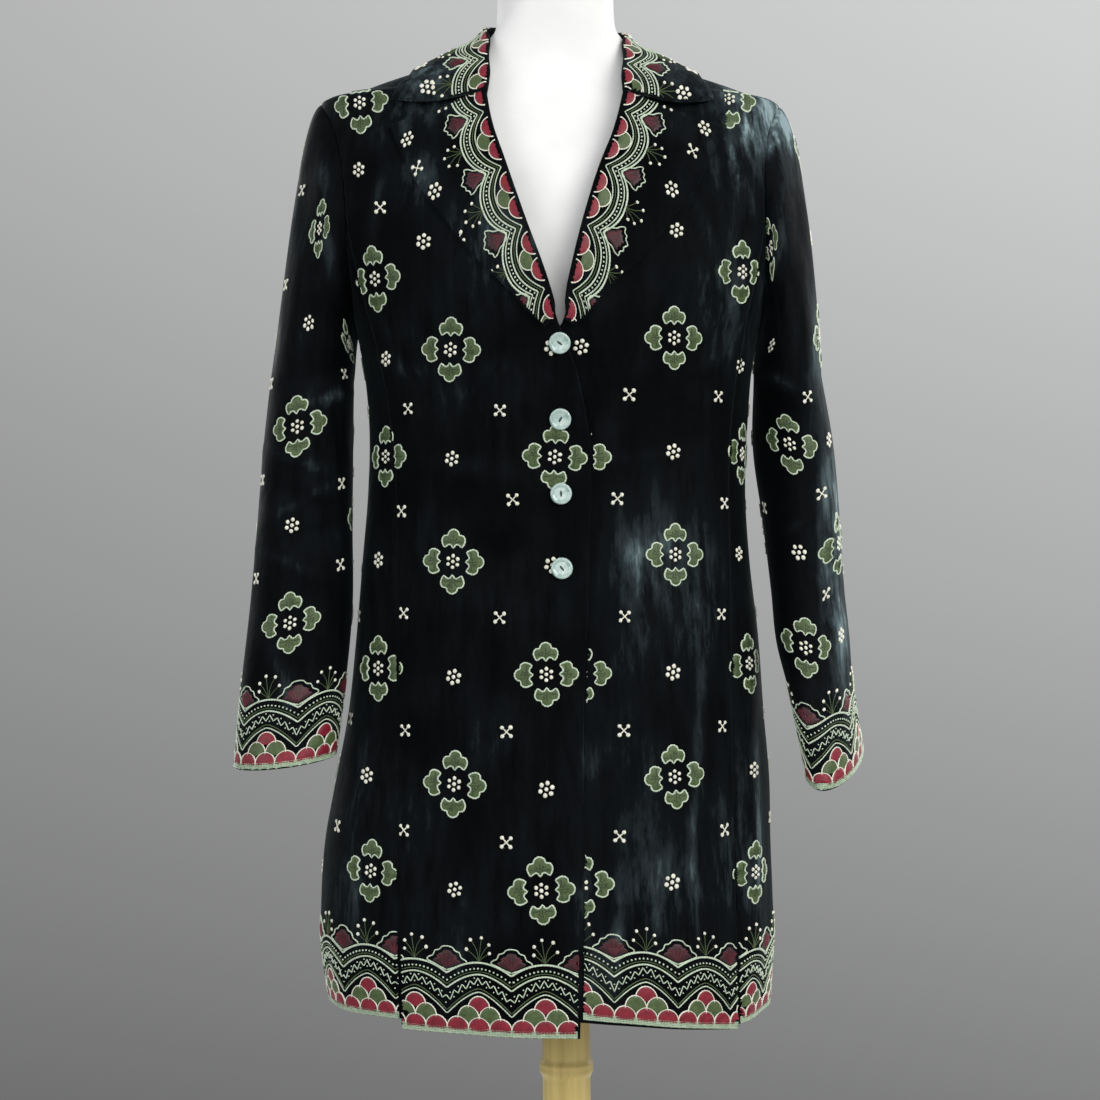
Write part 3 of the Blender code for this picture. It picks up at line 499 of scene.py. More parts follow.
# Stems of a sprig: the knot's place and how far the stem bends aside
SPRIG = ((-10.5, 9.5, -1.0), (-7.0, 17.5, 0.6), (2.5, 19.5, 0.5), (9.0, 14.0, 0.8), (9.4, 7.0, 1.4))

# Scalloped borders: pitch; lines as crest, junction, power, width, thread and dotted; scales as
# shift along the pitch, spring, crest, share of the pitch, thread and rise; zigzag as crest,
# junction, power, swing and period; heights of buds and sprigs, and their size
HEM_LINES = (
    (36.0, 16.6, 1.5, 1.3, "cream", False), (38.8, 19.4, 1.5, 1.0, "sage", False),
    (50.6, 38.0, 1.8, 1.7, "cream", False), (55.4, 44.4, 1.9, 0.0, "cream", True),
    (60.4, 50.5, 2.0, 1.9, "cream", False), (53.0, 41.2, 1.85, 0.9, "sage", False),
)
HEM_SCALES = (
    (0.0, 22.4, 32.4, 0.335, "crimson", 0.0),
    (-0.1667, 13.2, 24.2, 0.335, "sage", 0.2), (0.1667, 13.2, 24.2, 0.335, "sage", 0.2),
    (-0.3333, 5.6, 14.8, 0.335, "crimson", 0.4), (0.0, 5.6, 14.8, 0.335, "crimson", 0.4),
    (0.3333, 5.6, 14.8, 0.335, "crimson", 0.4),
)
HEM_ZIGZAG = (45.2, 28.6, 1.5, 2.8, 7.0)
HEM_BUDS = (LOTUS, LOTUS_VEINS, 53.0, 61.5, 1.0)
HEM_KIND = (56.4, HEM_LINES, HEM_SCALES, HEM_ZIGZAG, HEM_BUDS)
HEM_LEFT_KIND = (55.0, HEM_LINES, HEM_SCALES, HEM_ZIGZAG, HEM_BUDS)
BAND_LINES = (
    (16.6, 2.6, 2.1, 1.2, "cream", False), (19.0, 5.4, 2.1, 0.8, "sage", False),
    (21.6, 8.4, 2.2, 1.6, "cream", False), (24.2, 11.2, 2.2, 0.0, "cream", True),
    (26.8, 13.8, 2.3, 1.3, "cream", False), (29.8, 17.0, 2.3, 1.9, "cream", False),
)
BAND_SCALES = (
    (0.0, 7.0, 15.6, 0.32, "sage", 0.0),
    (-0.21, -1.0, 8.6, 0.36, "crimson", 0.2), (0.21, -1.0, 8.6, 0.36, "crimson", 0.2),
)
BAND_BUDS = (TULIP, TULIP_VEINS, 18.5, 29.0, 0.92)
BAND_KIND = (57.0, BAND_LINES, BAND_SCALES, None, BAND_BUDS)
CUFF_REPEATS = 5
EDGING_ROWS = (0.9, 2.4, 3.9, 5.4)

# Where the motifs lie: kind, then places as millimetres round from the middle, and height
RIGHT_CHART = (
    ("medallion", (-94, 1078), (-94, 898), (-94, 710)),
    ("flower", (-94, 986), (-94, 800), (-94, 622), (-116, 1170)),
    ("medallion", (-5, 986), (-14, 802), (-20, 622)), ("flower", (-6, 1078), (-8, 894), (-15, 706)),
    ("cross", (-51, 1026), (-41, 950), (-53, 850), (-48, 754), (-49, 662), (-137, 1030), (-145, 942),
     (-142, 854), (-140, 754), (-140, 670), (-156, 1202)),
    ("medallion", (-168, 1142)), ("flower", (-178, 1238)), ("medallion", (-175, 1298)),
)
SIDE_RIGHT_CHART = (
    ("medallion", (-166, 990), (-171, 806), (-173, 634)),
    ("flower", (-161, 1074), (-174, 900), (-180, 714)),
    ("cross", (-246, 938), (-214, 1032), (-216, 850), (-218, 760), (-220, 668)),
    ("medallion", (-256, 1070), (-262, 892), (-272, 714)),
    ("flower", (-256, 986), (-266, 804), (-276, 626)), ("cross", (-306, 760), (-312, 672)),
)
LEFT_CHART = (
    ("medallion", (99, 1086), (99, 902), (95, 714)),
    ("flower", (98, 990), (95, 802), (91, 626), (101, 1178)),
    ("medallion", (15, 986), (15, 802), (13, 626)), ("flower", (18, 1078)),
    ("cross", (59, 1038), (48, 950), (53, 850), (51, 754), (46, 666), (145, 1038), (153, 946),
     (145, 850), (144, 754), (145, 666)),
    ("medallion", (167, 1146), (152, 1302)),
)
SIDE_LEFT_CHART = (
    ("medallion", (186, 990), (181, 806), (183, 626)), ("flower", (174, 902), (182, 714), (176, 1066)),
    ("cross", (222, 1030), (222, 946), (224, 850), (226, 760), (228, 668)),
    ("medallion", (262, 1070), (264, 898), (272, 716)), ("flower", (262, 988), (268, 806), (276, 628)),
    ("cross", (308, 760)),
)
# The back's motifs, from its middle: columns of a half-drop repeat
BACK_COLUMNS = ((0, 986), (94, 1078), (-94, 1078), (186, 986), (-186, 986))
BACK_PITCH = 184
BACK_CROSSES = ((47, 1030), (-47, 1030), (139, 1030), (-139, 1030))
BACK_LOW = 600
BACK_HIGH = 1330

# Hem borders: cloth, start, end, place of a junction between two scallops, and kind
HEM_RUNS = (
    ("front_right", -190.0, 40.0, 10.8, HEM_KIND), ("front_left", -30.0, 190.0, 39.8, HEM_LEFT_KIND),
    ("side_right", -440.0, -120.0, -149.0, HEM_KIND),
    ("side_left", 120.0, 440.0, 152.0, HEM_LEFT_KIND), ("back", -290.0, 290.0, 28.2, HEM_KIND),
)

# Sleeves: millimetres round from the outer side of the arm, and up from the cuff
SLEEVE_RIGHT_CHART = (
    ("medallion", (91, 472), (72, 300), (69, 126)), ("flower", (79, 390), (69, 212)),
    ("medallion", (-18, 384), (-22, 212)), ("flower", (-14, 470), (-22, 298), (-22, 126)),
    ("medallion", (-12, 554), (-106, 470), (-112, 300), (-112, 126)),
    ("flower", (-108, 388), (-112, 212)), ("medallion", (165, 384), (158, 212)),
    ("flower", (160, 300), (158, 128)),
    ("cross", (118, 243), (24, 256), (26, 168), (28, 342), (32, 430), (36, 514), (-66, 256),
     (-66, 170), (-66, 342), (-62, 430), (118, 170), (122, 342), (-150, 256), (-150, 170)),
)
SLEEVE_LEFT_CHART = (
    ("medallion", (-150, 482), (-86, 298), (-77, 122)), ("flower", (-113, 382), (-81, 204)),
    ("medallion", (-32, 204), (-22, 388)), ("flower", (-38, 298), (-30, 122), (-14, 474)),
    ("cross", (-59, 256), (-50, 165), (-128, 231), (-66, 342)),
    ("medallion", (0, 556), (52, 470), (58, 300), (60, 126)), ("flower", (56, 388), (60, 212)),
    ("medallion", (146, 384), (150, 212)), ("flower", (146, 298), (150, 126)),
    ("cross", (12, 256), (14, 168), (8, 342), (4, 430), (104, 256), (104, 168), (104, 342)),
)
# Lapels: millimetres up the roll line from its foot, and out from it; collar: the same from
# the middle of its back
LAPEL_RIGHT_CHART = (
    ("flower", (210, 75), (152, 64)), ("cross", (180, 72), (104, 58)),
)
LAPEL_LEFT_CHART = (
    ("flower", (216, 75), (146, 63)), ("cross", (189, 69)),
)
COLLAR_CHART = (
    ("flower", (0, 58), (57, 60), (-57, 60), (114, 56), (-114, 56), (-199, 52), (199, 52)),
    ("cross", (28, 66), (-28, 66), (86, 64), (-86, 64), (150, 62), (-150, 62)),
)
BAND_RUNS = {
    "lapel_right": (-20.0, 250.0, 27.0), "lapel_left": (-20.0, 250.0, 24.0),
    "collar": (-240.0, 240.0, 0.4),
}


def smooth(at, table, column):
    """Reads a column of a table at the values of its first column, as a smooth curve."""
    places, values = table[:, 0], table[:, column]
    slopes = np.gradient(values, places)
    low = np.clip(np.searchsorted(places, at) - 1, 0, len(places) - 2)
    width = places[low + 1] - places[low]
    t = np.clip((at - places[low]) / width, 0.0, 1.0)
    start = (2 * t**3 - 3 * t**2 + 1) * values[low] + (t**3 - 2 * t**2 + t) * width * slopes[low]
    end = (3 * t**2 - 2 * t**3) * values[low + 1] + (t**3 - t**2) * width * slopes[low + 1]
    return start + end


def mix(a, b, share):
    return a + (b - a) * share


def ease(value, start, end):
    """Rises smoothly from 0 at the start to 1 at the end."""
    t = np.clip((value - start) / (end - start), 0.0, 1.0)
    return t * t * (3.0 - 2.0 * t)


def unit(vectors):
    return vectors / np.maximum(np.linalg.norm(vectors, axis=-1, keepdims=True), 1e-12)


def fold_height(level, angle):
    """How far the soft folds push the skirt out at a place."""
    height = np.zeros(np.broadcast(level, angle).shape)
    turn = np.degrees(angle)
    for top_angle, hem_angle, top, spread, depth in FOLDS:
        share = np.clip((top - level) / (top - BODY[0, 0]), 0.0, 1.0)
        middle = mix(top_angle, hem_angle, share)
        away = (turn - middle + 180.0) % 360.0 - 180.0
        height = height + depth * share**1.3 * np.exp(-((away / spread) ** 2))
    return height


def surface(level, angle):
    """Points of the body's surface, with its folds; the left shoulder sits lower than the right."""
    level, angle = np.broadcast_arrays(np.asarray(level, float), np.asarray(angle, float))
    right, left = smooth(level, BODY, 2), smooth(level, BODY, 3)
    front, back = smooth(level, BODY, 4), smooth(level, BODY, 5)
    power = 2.0 / smooth(level, BODY, 6)
    sine, cosine = np.sin(angle), np.cos(angle)
    half = np.where(sine < 0.0, right, left)
    depth = np.where(cosine > 0.0, front, back)
    x = np.sign(sine) * half * np.abs(sine) ** power
    y = -np.sign(cosine) * depth * np.abs(cosine) ** power
    out = fold_height(level, angle)
    upper = np.clip((level - UNDERARM) / (SHOULDER_TIP - UNDERARM), 0.0, 1.0)
    height = smooth(level, BODY, 1) - LEFT_DROP * np.clip(x / half, 0.0, 1.0) * upper
    return np.stack([x + out * sine, y - out * cosine, height], axis=-1)


def creases(points, face, cloth):
    """How far the listed creases move a cloth's surface, by where it is seen from the front."""
    out = np.zeros(points.shape[:-1])
    place = points[..., [0, 2]]
    for side in (-1, 1):
        for x0, z0, x1, z1, width, depth in np.array(CREASES.get((cloth, side), [])) / 1000:
            start, run = np.array([x0, z0]), np.array([x1 - x0, z1 - z0])
            along = np.clip(((place - start) @ run) / (run @ run), 0.0, 1.0)
            away = np.linalg.norm(place - start - along[..., None] * run, axis=-1) / width
            ends = np.sin(math.pi * np.clip(along, *CREASE_ENDS)) ** CREASE_FADE
            out = out + depth * ends * np.exp(-(away**2)) * (face == side)
    return out


def body(level, angle, out=0.0, creased=True):
    """Points at a distance out from the body's surface."""
    level, angle, out = np.broadcast_arrays(*(np.asarray(v, float) for v in (level, angle, out)))
    low = np.maximum(level - NORMAL_STEP, BODY[0, 0])
    high = np.minimum(level + NORMAL_STEP, BODY[-1, 0])
    up = surface(high, angle) - surface(low, angle)
    around = surface(level, angle + NORMAL_STEP) - surface(level, angle - NORMAL_STEP)
    base = surface(level, angle)
    if creased:
        out = out + creases(base, np.where(np.cos(angle) > 0.0, -1, 1), "body")
    return base + unit(np.cross(around, up)) * out[..., None]


def angle_at(level, x, side):
    """The front angle where a ring is at a distance x from the middle; it is negative past it."""
    away = side * np.sign(x)
    half = np.where(away < 0, smooth(level, BODY, 2), smooth(level, BODY, 3))
    return away * np.arcsin(np.minimum(1.0, (np.abs(x) / half) ** (smooth(level, BODY, 6) / 2)))


def armhole(turn, shrink=0.0):
    """Height and y of the armhole at a turn round it: 0 at the shoulder tip, a quarter in front."""
    middle = (SHOULDER_TIP + UNDERARM) / 2
    tall = (SHOULDER_TIP - UNDERARM) / 2 - shrink
    deep = np.where(np.sin(turn) > 0, ARMHOLE_DEPTH_FRONT, ARMHOLE_DEPTH_BACK) - shrink
    return middle + tall * np.cos(turn), -deep * np.sin(turn)


def armhole_place(turn, side, shrink=0.0):
    """Level and angle of a place on the armhole's edge."""
    level, y = armhole(turn, shrink)
    depth = np.where(y < 0, smooth(level, BODY, 4), smooth(level, BODY, 5))
    share = np.minimum(1.0, (np.abs(y) / depth) ** (smooth(level, BODY, 6) / 2))
    from_front = np.arccos(share)
    return level, side * np.where(y < 0, from_front, math.pi - from_front)


def turn_at(level):
    """The turn round the armhole where its front edge has this level."""
    middle = (SHOULDER_TIP + UNDERARM) / 2
    tall = (SHOULDER_TIP - UNDERARM) / 2
    return np.arccos(np.clip((level - middle) / tall, -1.0, 1.0))


def seam_front(level, side):
    """The angle of the seam between front and side."""
    top = armhole_place(turn_at(SEAM_TOP), side)[1]
    join = SEAM_FRONT[-1, 0]
    column = 1 if side < 0 else 2
    below = angle_at(level, smooth(level, SEAM_FRONT, column), side)
    start = angle_at(join, SEAM_FRONT[-1, column], side)
    above = mix(start, top, (level - join) / (SEAM_TOP - join))
    return np.where(level <= join, below, above)


def seam_back(level, side):
    """The angle of the seam between side and back."""
    top = armhole_place(2 * math.pi - turn_at(SEAM_TOP), side)[1]
    join = SEAM_BACK[-1, 0]
    below = side * np.radians(smooth(level, SEAM_BACK, 1))
    start = side * math.radians(SEAM_BACK[-1, 1])
    above = mix(start, top, (level - join) / (SEAM_TOP - join))
    return np.where(level <= join, below, above)


def outer_limit(level, side, seam):
    """Where a front or back panel ends: at its seam, at the armhole or at the shoulder seam."""
    turn = turn_at(level)
    hole = armhole_place(turn if seam is seam_front else 2 * math.pi - turn, side)[1]
    above = np.where(level < SHOULDER_TIP, hole, side * math.pi / 2)
    return np.where(level <= SEAM_TOP, seam(level, side), above)


def overlap_out(level, angle, side):
    """The right front is lifted where it laps over the left one."""
    if side > 0:
        return np.zeros(np.broadcast(level, angle).shape)
    across = ease(surface(level, angle)[..., 0], -OVERLAP_FAR, -OVERLAP_NEAR)
    return OVERLAP_OUT * across * ease(-level, -BREAK - 2 * OVERLAP_FADE, -BREAK - OVERLAP_FADE)


def grid_normals(grid):
    """Unit normals of a grid of points whose rows rise and whose columns go anticlockwise."""
    across, along = np.gradient(grid, axis=1), np.gradient(grid, axis=0)
    return unit(np.cross(across, along))


def sleeve_ring(table, height, turn):
    """Points of the sleeve's tube; a turn of 0 is the outer side of the arm, a quarter the front."""
    middle_x, middle_y, wide, deep, rise_y, rise_x, slant = (
        smooth(height, table, column) for column in range(1, 8)
    )
    x, y = np.sign(table[0, 1]) * wide * np.cos(turn), -deep * np.sin(turn)
    return np.stack(
        [middle_x + x + slant * y, middle_y + y, height + (rise_y * y + rise_x * x)], axis=-1
    )


def sleeve_cap(table, share, turn):
    """Points of the cap, on curves from the armhole's edge to the tube's top."""
    side = np.sign(table[0, 1])
    start = surface(*armhole_place(turn, side, ROOT_GAP))
    end = sleeve_ring(table, np.full(turn.shape, table[-1, 0]), turn)
    length = np.linalg.norm(end - start, axis=-1, keepdims=True)
    away = np.stack(
        [np.full(turn.shape, side), -CAP_SWELL * np.sin(turn), np.full(turn.shape, -CAP_FALL)],
        axis=-1,
    )
    lean = np.array([ARM_LEAN[int(side)], 0.0, 1.0])
    first = start + unit(away) * length * CAP_START
    second = end + lean / np.linalg.norm(lean) * length * CAP_END
    t = share[..., None]
    return (
        (1 - t) ** 3 * start + 3 * (1 - t) ** 2 * t * first
        + 3 * (1 - t) * t**2 * second + t**3 * end
    )


def ring_charts():
    """Lengths round the body's rings, and the angles at even lengths."""
    levels = np.arange(BODY[0, 0], NECK, RING_STEP)
    angles = np.radians(np.arange(*RING_TURNS, 1.0))
    rings = surface(levels[:, None], angles[None, :])
    steps = np.linalg.norm(np.diff(rings, axis=1), axis=2)
    lengths = np.concatenate([np.zeros((len(levels), 1)), np.cumsum(steps, axis=1)], axis=1)
    lengths -= lengths[:, -RING_TURNS[0], None]
    places = np.arange(ROUND_LOW, ROUND_HIGH, ROUND_STEP)
    turns = np.stack([np.interp(places, row, angles) for row in lengths])
    return levels, lengths, turns


ring_levels, ring_lengths, ring_turns = ring_charts()


def bilinear(table, rows, columns):
    """Reads a table between its rows and columns."""
    rows = np.clip(rows, 0, table.shape[0] - 1.001)
    columns = np.clip(columns, 0, table.shape[1] - 1.001)
    row, column = rows.astype(int), columns.astype(int)
    up, over = rows - row, columns - column
    if table.ndim == 3:
        up, over = up[..., None], over[..., None]
    low = mix(table[row, column], table[row, column + 1], over)
    high = mix(table[row + 1, column], table[row + 1, column + 1], over)
    return mix(low, high, up)


def spline(before, start, end, after, t):
    """Points on the smooth curve between a start and an end, among four points in a row."""
    return 0.5 * (
        2 * start + (end - before) * t + (2 * before - 5 * start + 4 * end - after) * t**2
        + (3 * start - before - 3 * end + after) * t**3
    )


def ring_quads(count, sides):
    """The numbers of the points on closed rings, and the faces between those rings."""
    index = np.arange(count * sides).reshape(count, sides)
    beside = np.roll(index, -1, axis=1)
    corners = (index[:-1], beside[:-1], beside[1:], index[1:])
    return index, np.stack([corner.ravel() for corner in corners], axis=1)


def crowded(count, crowd=0.6):
    """Places from 0 to 1 that lie closer together near both ends."""
    even = np.linspace(0.0, 1.0, count)
    return mix(even, (1.0 - np.cos(math.pi * even)) / 2.0, crowd)


def seam_relief(level, angle):
    """How far the seams pull the cloth in, and pucker it, beside the edges of the panels."""
    middle = surface(level, angle)
    radius = np.hypot(middle[..., 0], middle[..., 1])
    away = np.full(level.shape, 1.0)
    for side in (-1, 1):
        for seam in (seam_front, seam_back):
            gap = (angle - outer_limit(level, side, seam) + math.pi) % (2 * math.pi) - math.pi
            away = np.minimum(away, np.abs(gap) * radius)
    dip = SEAM_DIP * np.exp(-((away / SEAM_WIDTH) ** 2))
    drift = PUCKER_DRIFT * np.sin(PUCKER_DRIFT_RATE * level)
    wave = np.sin(2 * math.pi * level / PUCKER_PITCH + drift)
    return PUCKER * wave * np.exp(-((away / PUCKER_WIDTH) ** 2)) - dip


def row_levels(hem):
    """The levels of a panel's rows from its lower edge to the neck."""
    skirt = np.linspace(hem, SIDE_ROWS_END, ROWS_SKIRT + 1)[:-1]
    underarm = np.linspace(SIDE_ROWS_END, SEAM_TOP, ROWS_UNDERARM + 1)[:-1]
    turns = np.linspace(turn_at(SEAM_TOP), 0.0, ROWS_ARMHOLE + 1)[:-1]
    shoulder = np.linspace(SHOULDER_TIP, NECK, ROWS_SHOULDER)
    return np.concatenate([skirt, underarm, armhole(turns)[0], shoulder])


def front_places(side, name):
    """Level and angle of a front's points, from its edge and roll line to its far side."""
    edge = EDGE_RIGHT if side < 0 else EDGE_LEFT
    near, far = row_levels(HEM[name][0])[:, None], row_levels(HEM[name][1])[:, None]
    inner = angle_at(near, smooth(near, edge, 1), side)
    inner = inner + side * SEAM_GAP_ANGLE * (near > BREAK)
    outer = outer_limit(far, side, seam_front) - side * SEAM_GAP_ANGLE
    share = crowded(COLUMNS_FRONT)
    return mix(near, far, share), mix(inner, outer, share)


def side_places(side, name):
    """Level and angle of a side panel's points, up to the lower part of the armhole."""
    share = crowded(COLUMNS_SIDE)
    first = turn_at(SEAM_TOP)
    top_level, top_angle = armhole_place(mix(first, 2 * math.pi - first, share), side)
    rise = np.linspace(0.0, 1.0, ROWS_SKIRT + 1)[:, None]
    level = mix(mix(*HEM[name], share), SIDE_ROWS_END, rise)
    angle = mix(seam_front(level, side), seam_back(level, side), share)
    rise = np.linspace(0.0, 1.0, ROWS_UNDERARM + 1)[1:, None]
    level_above, angle_above = mix(level[-1], top_level, rise), mix(angle[-1], top_angle, rise)
    front_miss = seam_front(level_above[:, :1], side) - angle_above[:, :1]
    back_miss = seam_back(level_above[:, -1:], side) - angle_above[:, -1:]
    angle_above = angle_above + front_miss * (1 - share) ** 3 + back_miss * share**3
    level = np.concatenate([level, level_above])
    angle = np.concatenate([angle, angle_above])
    return level, angle + side * SEAM_GAP_ANGLE * (1.0 - 2.0 * share)


def back_places(name):
    """Level and angle of the back's points, from seam to seam."""
    level = row_levels(HEM[name][0])[:, None]
    right = 2 * math.pi + outer_limit(level, -1, seam_back) - SEAM_GAP_ANGLE
    left = outer_limit(level, 1, seam_back) + SEAM_GAP_ANGLE
    share = crowded(COLUMNS_BACK)
    return level + 0.0 * share, mix(left, right, share)


def on_body(level, angle, side, out=0.0):
    """Points on a panel's finished surface, or at a distance out from it."""
    lift = overlap_out(level, angle, side) + seam_relief(level, angle)
    return body(level, angle, lift + out)


def make_object(name, points, faces, look, threads=None):
    """An object from points and faces; threads gives each face the number of its material."""
    data = bpy.data.meshes.new(name)
    data.from_pydata(points.reshape(-1, 3).tolist(), [], faces)
    for one in look if isinstance(look, list) else [look]:
        data.materials.append(one)
    if threads is not None:
        data.polygons.foreach_set("material_index", threads)
    data.validate()
    data.update()
    data.shade_smooth()
    obj = bpy.data.objects.new(name, data)
    bpy.context.scene.collection.objects.link(obj)
    return obj


def crush_and_sheen(points, back):
    """How far the pile is flattened, and painted with sheen in its colour, at each point, from 0 to 1."""
    amount = np.zeros(len(points))
    for side, patches in CRUSHED_AND_SHEEN.items():
        for x, height, wide, tall, strength in np.array(patches) / (1000, 1000, 1000, 1000, 1):
            away = ((points[:, 0] - x) / wide) ** 2 + ((points[:, 2] - height) / tall) ** 2
            amount = np.maximum(amount, strength * np.exp(-away) * (back == (side > 0)))
    return amount


def shell(name, outer, inner, look, closed=False, cloth=""):
    """Cloth as a closed wall between two grids of points, with rounded edges."""
    rows, columns = outer.shape[:2]
    points = [outer.reshape(-1, 3), inner.reshape(-1, 3)]
    count = rows * columns
    index = np.arange(count).reshape(rows, columns)
    wrap = np.concatenate([index, index[:, :1]], axis=1) if closed else index
    quads = []

    def skin(table, flip):
        corners = [table[:-1, :-1], table[:-1, 1:], table[1:, 1:], table[1:, :-1]]
        corners = corners[::-1] if flip else corners
        quads.append(np.stack([corner.ravel() for corner in corners], axis=1))

    skin(wrap, False)
    skin(wrap + count, True)
    middle = (outer + inner) / 2
    strips = [(index[0], middle[0] - middle[1], True), (index[-1], middle[-1] - middle[-2], False)]
    if not closed:
        strips += [
            (index[:, 0], middle[:, 0] - middle[:, 1], False),
            (index[:, -1], middle[:, -1] - middle[:, -2], True),
        ]
    total = 2 * count
    for line, away, flip in strips:
        points.append(middle.reshape(-1, 3)[line] + unit(away) * EDGE_ROUND)
        edge = np.arange(total, total + len(line))
        total += len(line)
        if closed:
            line, edge = np.append(line, line[0]), np.append(edge, edge[0])
        skin(np.stack([line, edge]), flip)
        skin(np.stack([edge, line + count]), flip)
    points, quads = np.concatenate(points), np.concatenate(quads)
    corners = points[quads]
    first, second, third, fourth = (corners[:, k] for k in range(4))
    if np.sum(first * (np.cross(second, third) + np.cross(third, fourth))) < 0:
        quads = quads[:, ::-1]
    obj = make_object(name, points, quads.tolist(), look)
    away = np.cross(
        points[quads[:, 1]] - points[quads[:, 0]], points[quads[:, 3]] - points[quads[:, 0]]
    )
    facing = np.zeros(len(points))
    np.add.at(facing, quads.ravel(), np.repeat(away[:, 1], 4))
    # Painted sheen: this attribute makes the velvet's base colour paler on crushed pile
    amount = obj.data.attributes.new("crush_and_sheen", "FLOAT", "POINT")
    # Painted highlights along the crease ridges
    ridge_highlights = creases(points, np.where(facing > 0, 1, -1), cloth) / RIDGE_HIGHLIGHT_HEIGHT
    strength = np.clip(np.maximum(crush_and_sheen(points, facing > 0), ridge_highlights), 0.0, 1.0)
    # Painted highlight along the cut edges
    strength[2 * count:] = np.maximum(strength[2 * count:], EDGE_HIGHLIGHT)
    amount.data.foreach_set("value", strength.astype(np.float32))
    return obj


def stand_for(obj, node):
    """Puts a piece in its node's place, on the only body."""
    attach(obj, "root")
    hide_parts(node)


def cloth_piece(obj, node):
    """Puts a cloth piece in its node's place."""
    stand_for(obj, node)


def panel(name, places, side):
    """A body panel's shell."""
    level, angle = places
    outer = on_body(level, angle, side)
    inner = on_body(level, angle, side, -CLOTH)
    return shell(f"{name}_cloth", outer, inner, velvet, cloth="body")


def tube_normals(rings, table):
    """Normals out of a sleeve's closed rings."""
    rounded = np.concatenate([rings[:, -2:], rings, rings[:, :2]], axis=1)
    return grid_normals(rounded)[:, 2:-2] * np.sign(table[0, 1])


def sleeve_skins(name, table):
    """Outer and inner points of a sleeve, from the armhole to the cuff, with its creases."""
    turn = np.linspace(0.0, 2 * math.pi, SLEEVE_TURNS + 1)[:-1]
    share = np.linspace(0.0, 1.0, SLEEVE_CAP_ROWS + 1)[:-1, None] + 0.0 * turn
    height = np.linspace(table[-1, 0], table[0, 0], SLEEVE_TUBE_ROWS + 1)[:, None] + 0.0 * turn
    cap = sleeve_cap(table, share, turn + 0.0 * share)
    tube = sleeve_ring(table, height, turn + 0.0 * height)
    outer = np.concatenate([cap, tube])
    normal = tube_normals(outer, table)
    row = np.arange(len(outer))
    ends = ease(row, 0, CAP_CALM_ROWS) * ease(row[::-1], 0, CUFF_CALM_ROWS)
    fold = creases(outer, np.where(normal[..., 1] < 0, -1, 1), name) * ends[:, None]
    outer = outer + normal * fold[..., None]
    outer[0] += unit(outer[0] - outer[1]) * CAP_TUCK
    return outer, outer - tube_normals(outer, table) * CLOTH


def lapel_skins(side):
    """Outer and inner points of a lapel: rows out from the roll line, columns up it."""
    edge = EDGE_RIGHT if side < 0 else EDGE_LEFT
    up = np.linspace(0.0, 1.0, LAPEL_ROWS)
    roll_height = mix(LAPEL_FOOT[0], LAPEL_HEAD[0], up)
    edge_height = mix(LAPEL_FOOT[1], LAPEL_HEAD[1], up)
    roll_x = smooth(roll_height, edge, 1) + ROLL_INSET
    edge_x = smooth(edge_height, LAPEL_EDGE, 1)
    share = crowded(LAPEL_COLUMNS, 0.5)[:, None]
    x, height = mix(roll_x, edge_x, share), mix(roll_height, edge_height, share)
    gorge = np.cos(math.pi / 2 * np.clip(share / GORGE_SHARE, 0.0, 1.0))
    height = height + GORGE_RISE * gorge * ease(up, GORGE_START, 1.0)
    bump = ROLL_HEIGHT * np.exp(-(((x - roll_x) / ROLL_WIDTH) ** 2))
    turn = np.radians(np.array(ROLL_TURNS))[:, None]
    curl = ease(up, 0.0, ROLL_START)
    x = np.concatenate([roll_x - ROLL_RADIUS * curl * np.sin(turn), x])
    height = np.concatenate([height[:1] + 0.0 * turn, height])
    bump = np.concatenate([ROLL_HEIGHT - ROLL_RADIUS * curl * (1 - np.cos(turn)), bump])
    angle = angle_at(height, x, side)
    out = LIE_ON + bump + overlap_out(height, angle, side)
    outer = body(height, angle, out + WALL)
    normal = grid_normals(outer) * -side
    return outer, outer - normal * CLOTH


def refined(grid, times):
    """More rows between the rows of a grid, on smooth curves through its points."""
    before = np.concatenate([grid[:1], grid[:-2]])
    start, end = grid[:-1], grid[1:]
    after = np.concatenate([grid[2:], grid[-1:]])
    t = (np.arange(times) / times)[None, :, None, None]
    before, start, end, after = (part[:, None] for part in (before, start, end, after))
    rows = spline(before, start, end, after, t)
    return np.concatenate([rows.reshape(-1, *grid.shape[1:]), grid[-1:]])


def collar_skins():
    """Outer and inner points of the collar: rows over its fold, columns from notch to notch."""
    shares = np.linspace(-1.0, 1.0, COLLAR_COLUMNS)
    sections = []
    for share in shares:
        row = [float(smooth(abs(share), COLLAR, column)) for column in range(1, COLLAR.shape[1])]
        seam, fold, edge, stand_off = row[0:3], row[3:6], row[6:9], row[9]
        places = [seam, [mix(s, f, 0.5) for s, f in zip(seam, fold)], fold]
        dip = COLLAR_DIP * max(0.0, (abs(share) - COLLAR_DIP_FROM) / (1 - COLLAR_DIP_FROM)) ** 2
        for v in COLLAR_FALL_SHARES:
            level, angle, out = (mix(f, e, v) for f, e in zip(fold, edge))
            arch = math.sin(math.pi * v)
            places.append([level - dip * arch, angle, out + stand_off * arch])
        side = 1.0 if share > 0 else -1.0
        sections.append([(level, side * math.radians(angle), out) for level, angle, out in places])
    places = np.array(sections)
    under = body(places[..., 0], places[..., 1], places[..., 2])
    under = refined(under.transpose(1, 0, 2), COLLAR_REFINE)
    for _ in range(COLLAR_SMOOTHING):
        under[:, 1:-1] = (under[:, :-2] + 2 * under[:, 1:-1] + under[:, 2:]) / 4
    for k in range(COLLAR_END_COLUMNS):
        pull = (1 - k / COLLAR_END_COLUMNS) ** 2 * np.array(COLLAR_END_PULL)
        under[:, k] += pull
        under[:, -1 - k] += pull * (-1, 1, 1)
    return under, grid_normals(under)


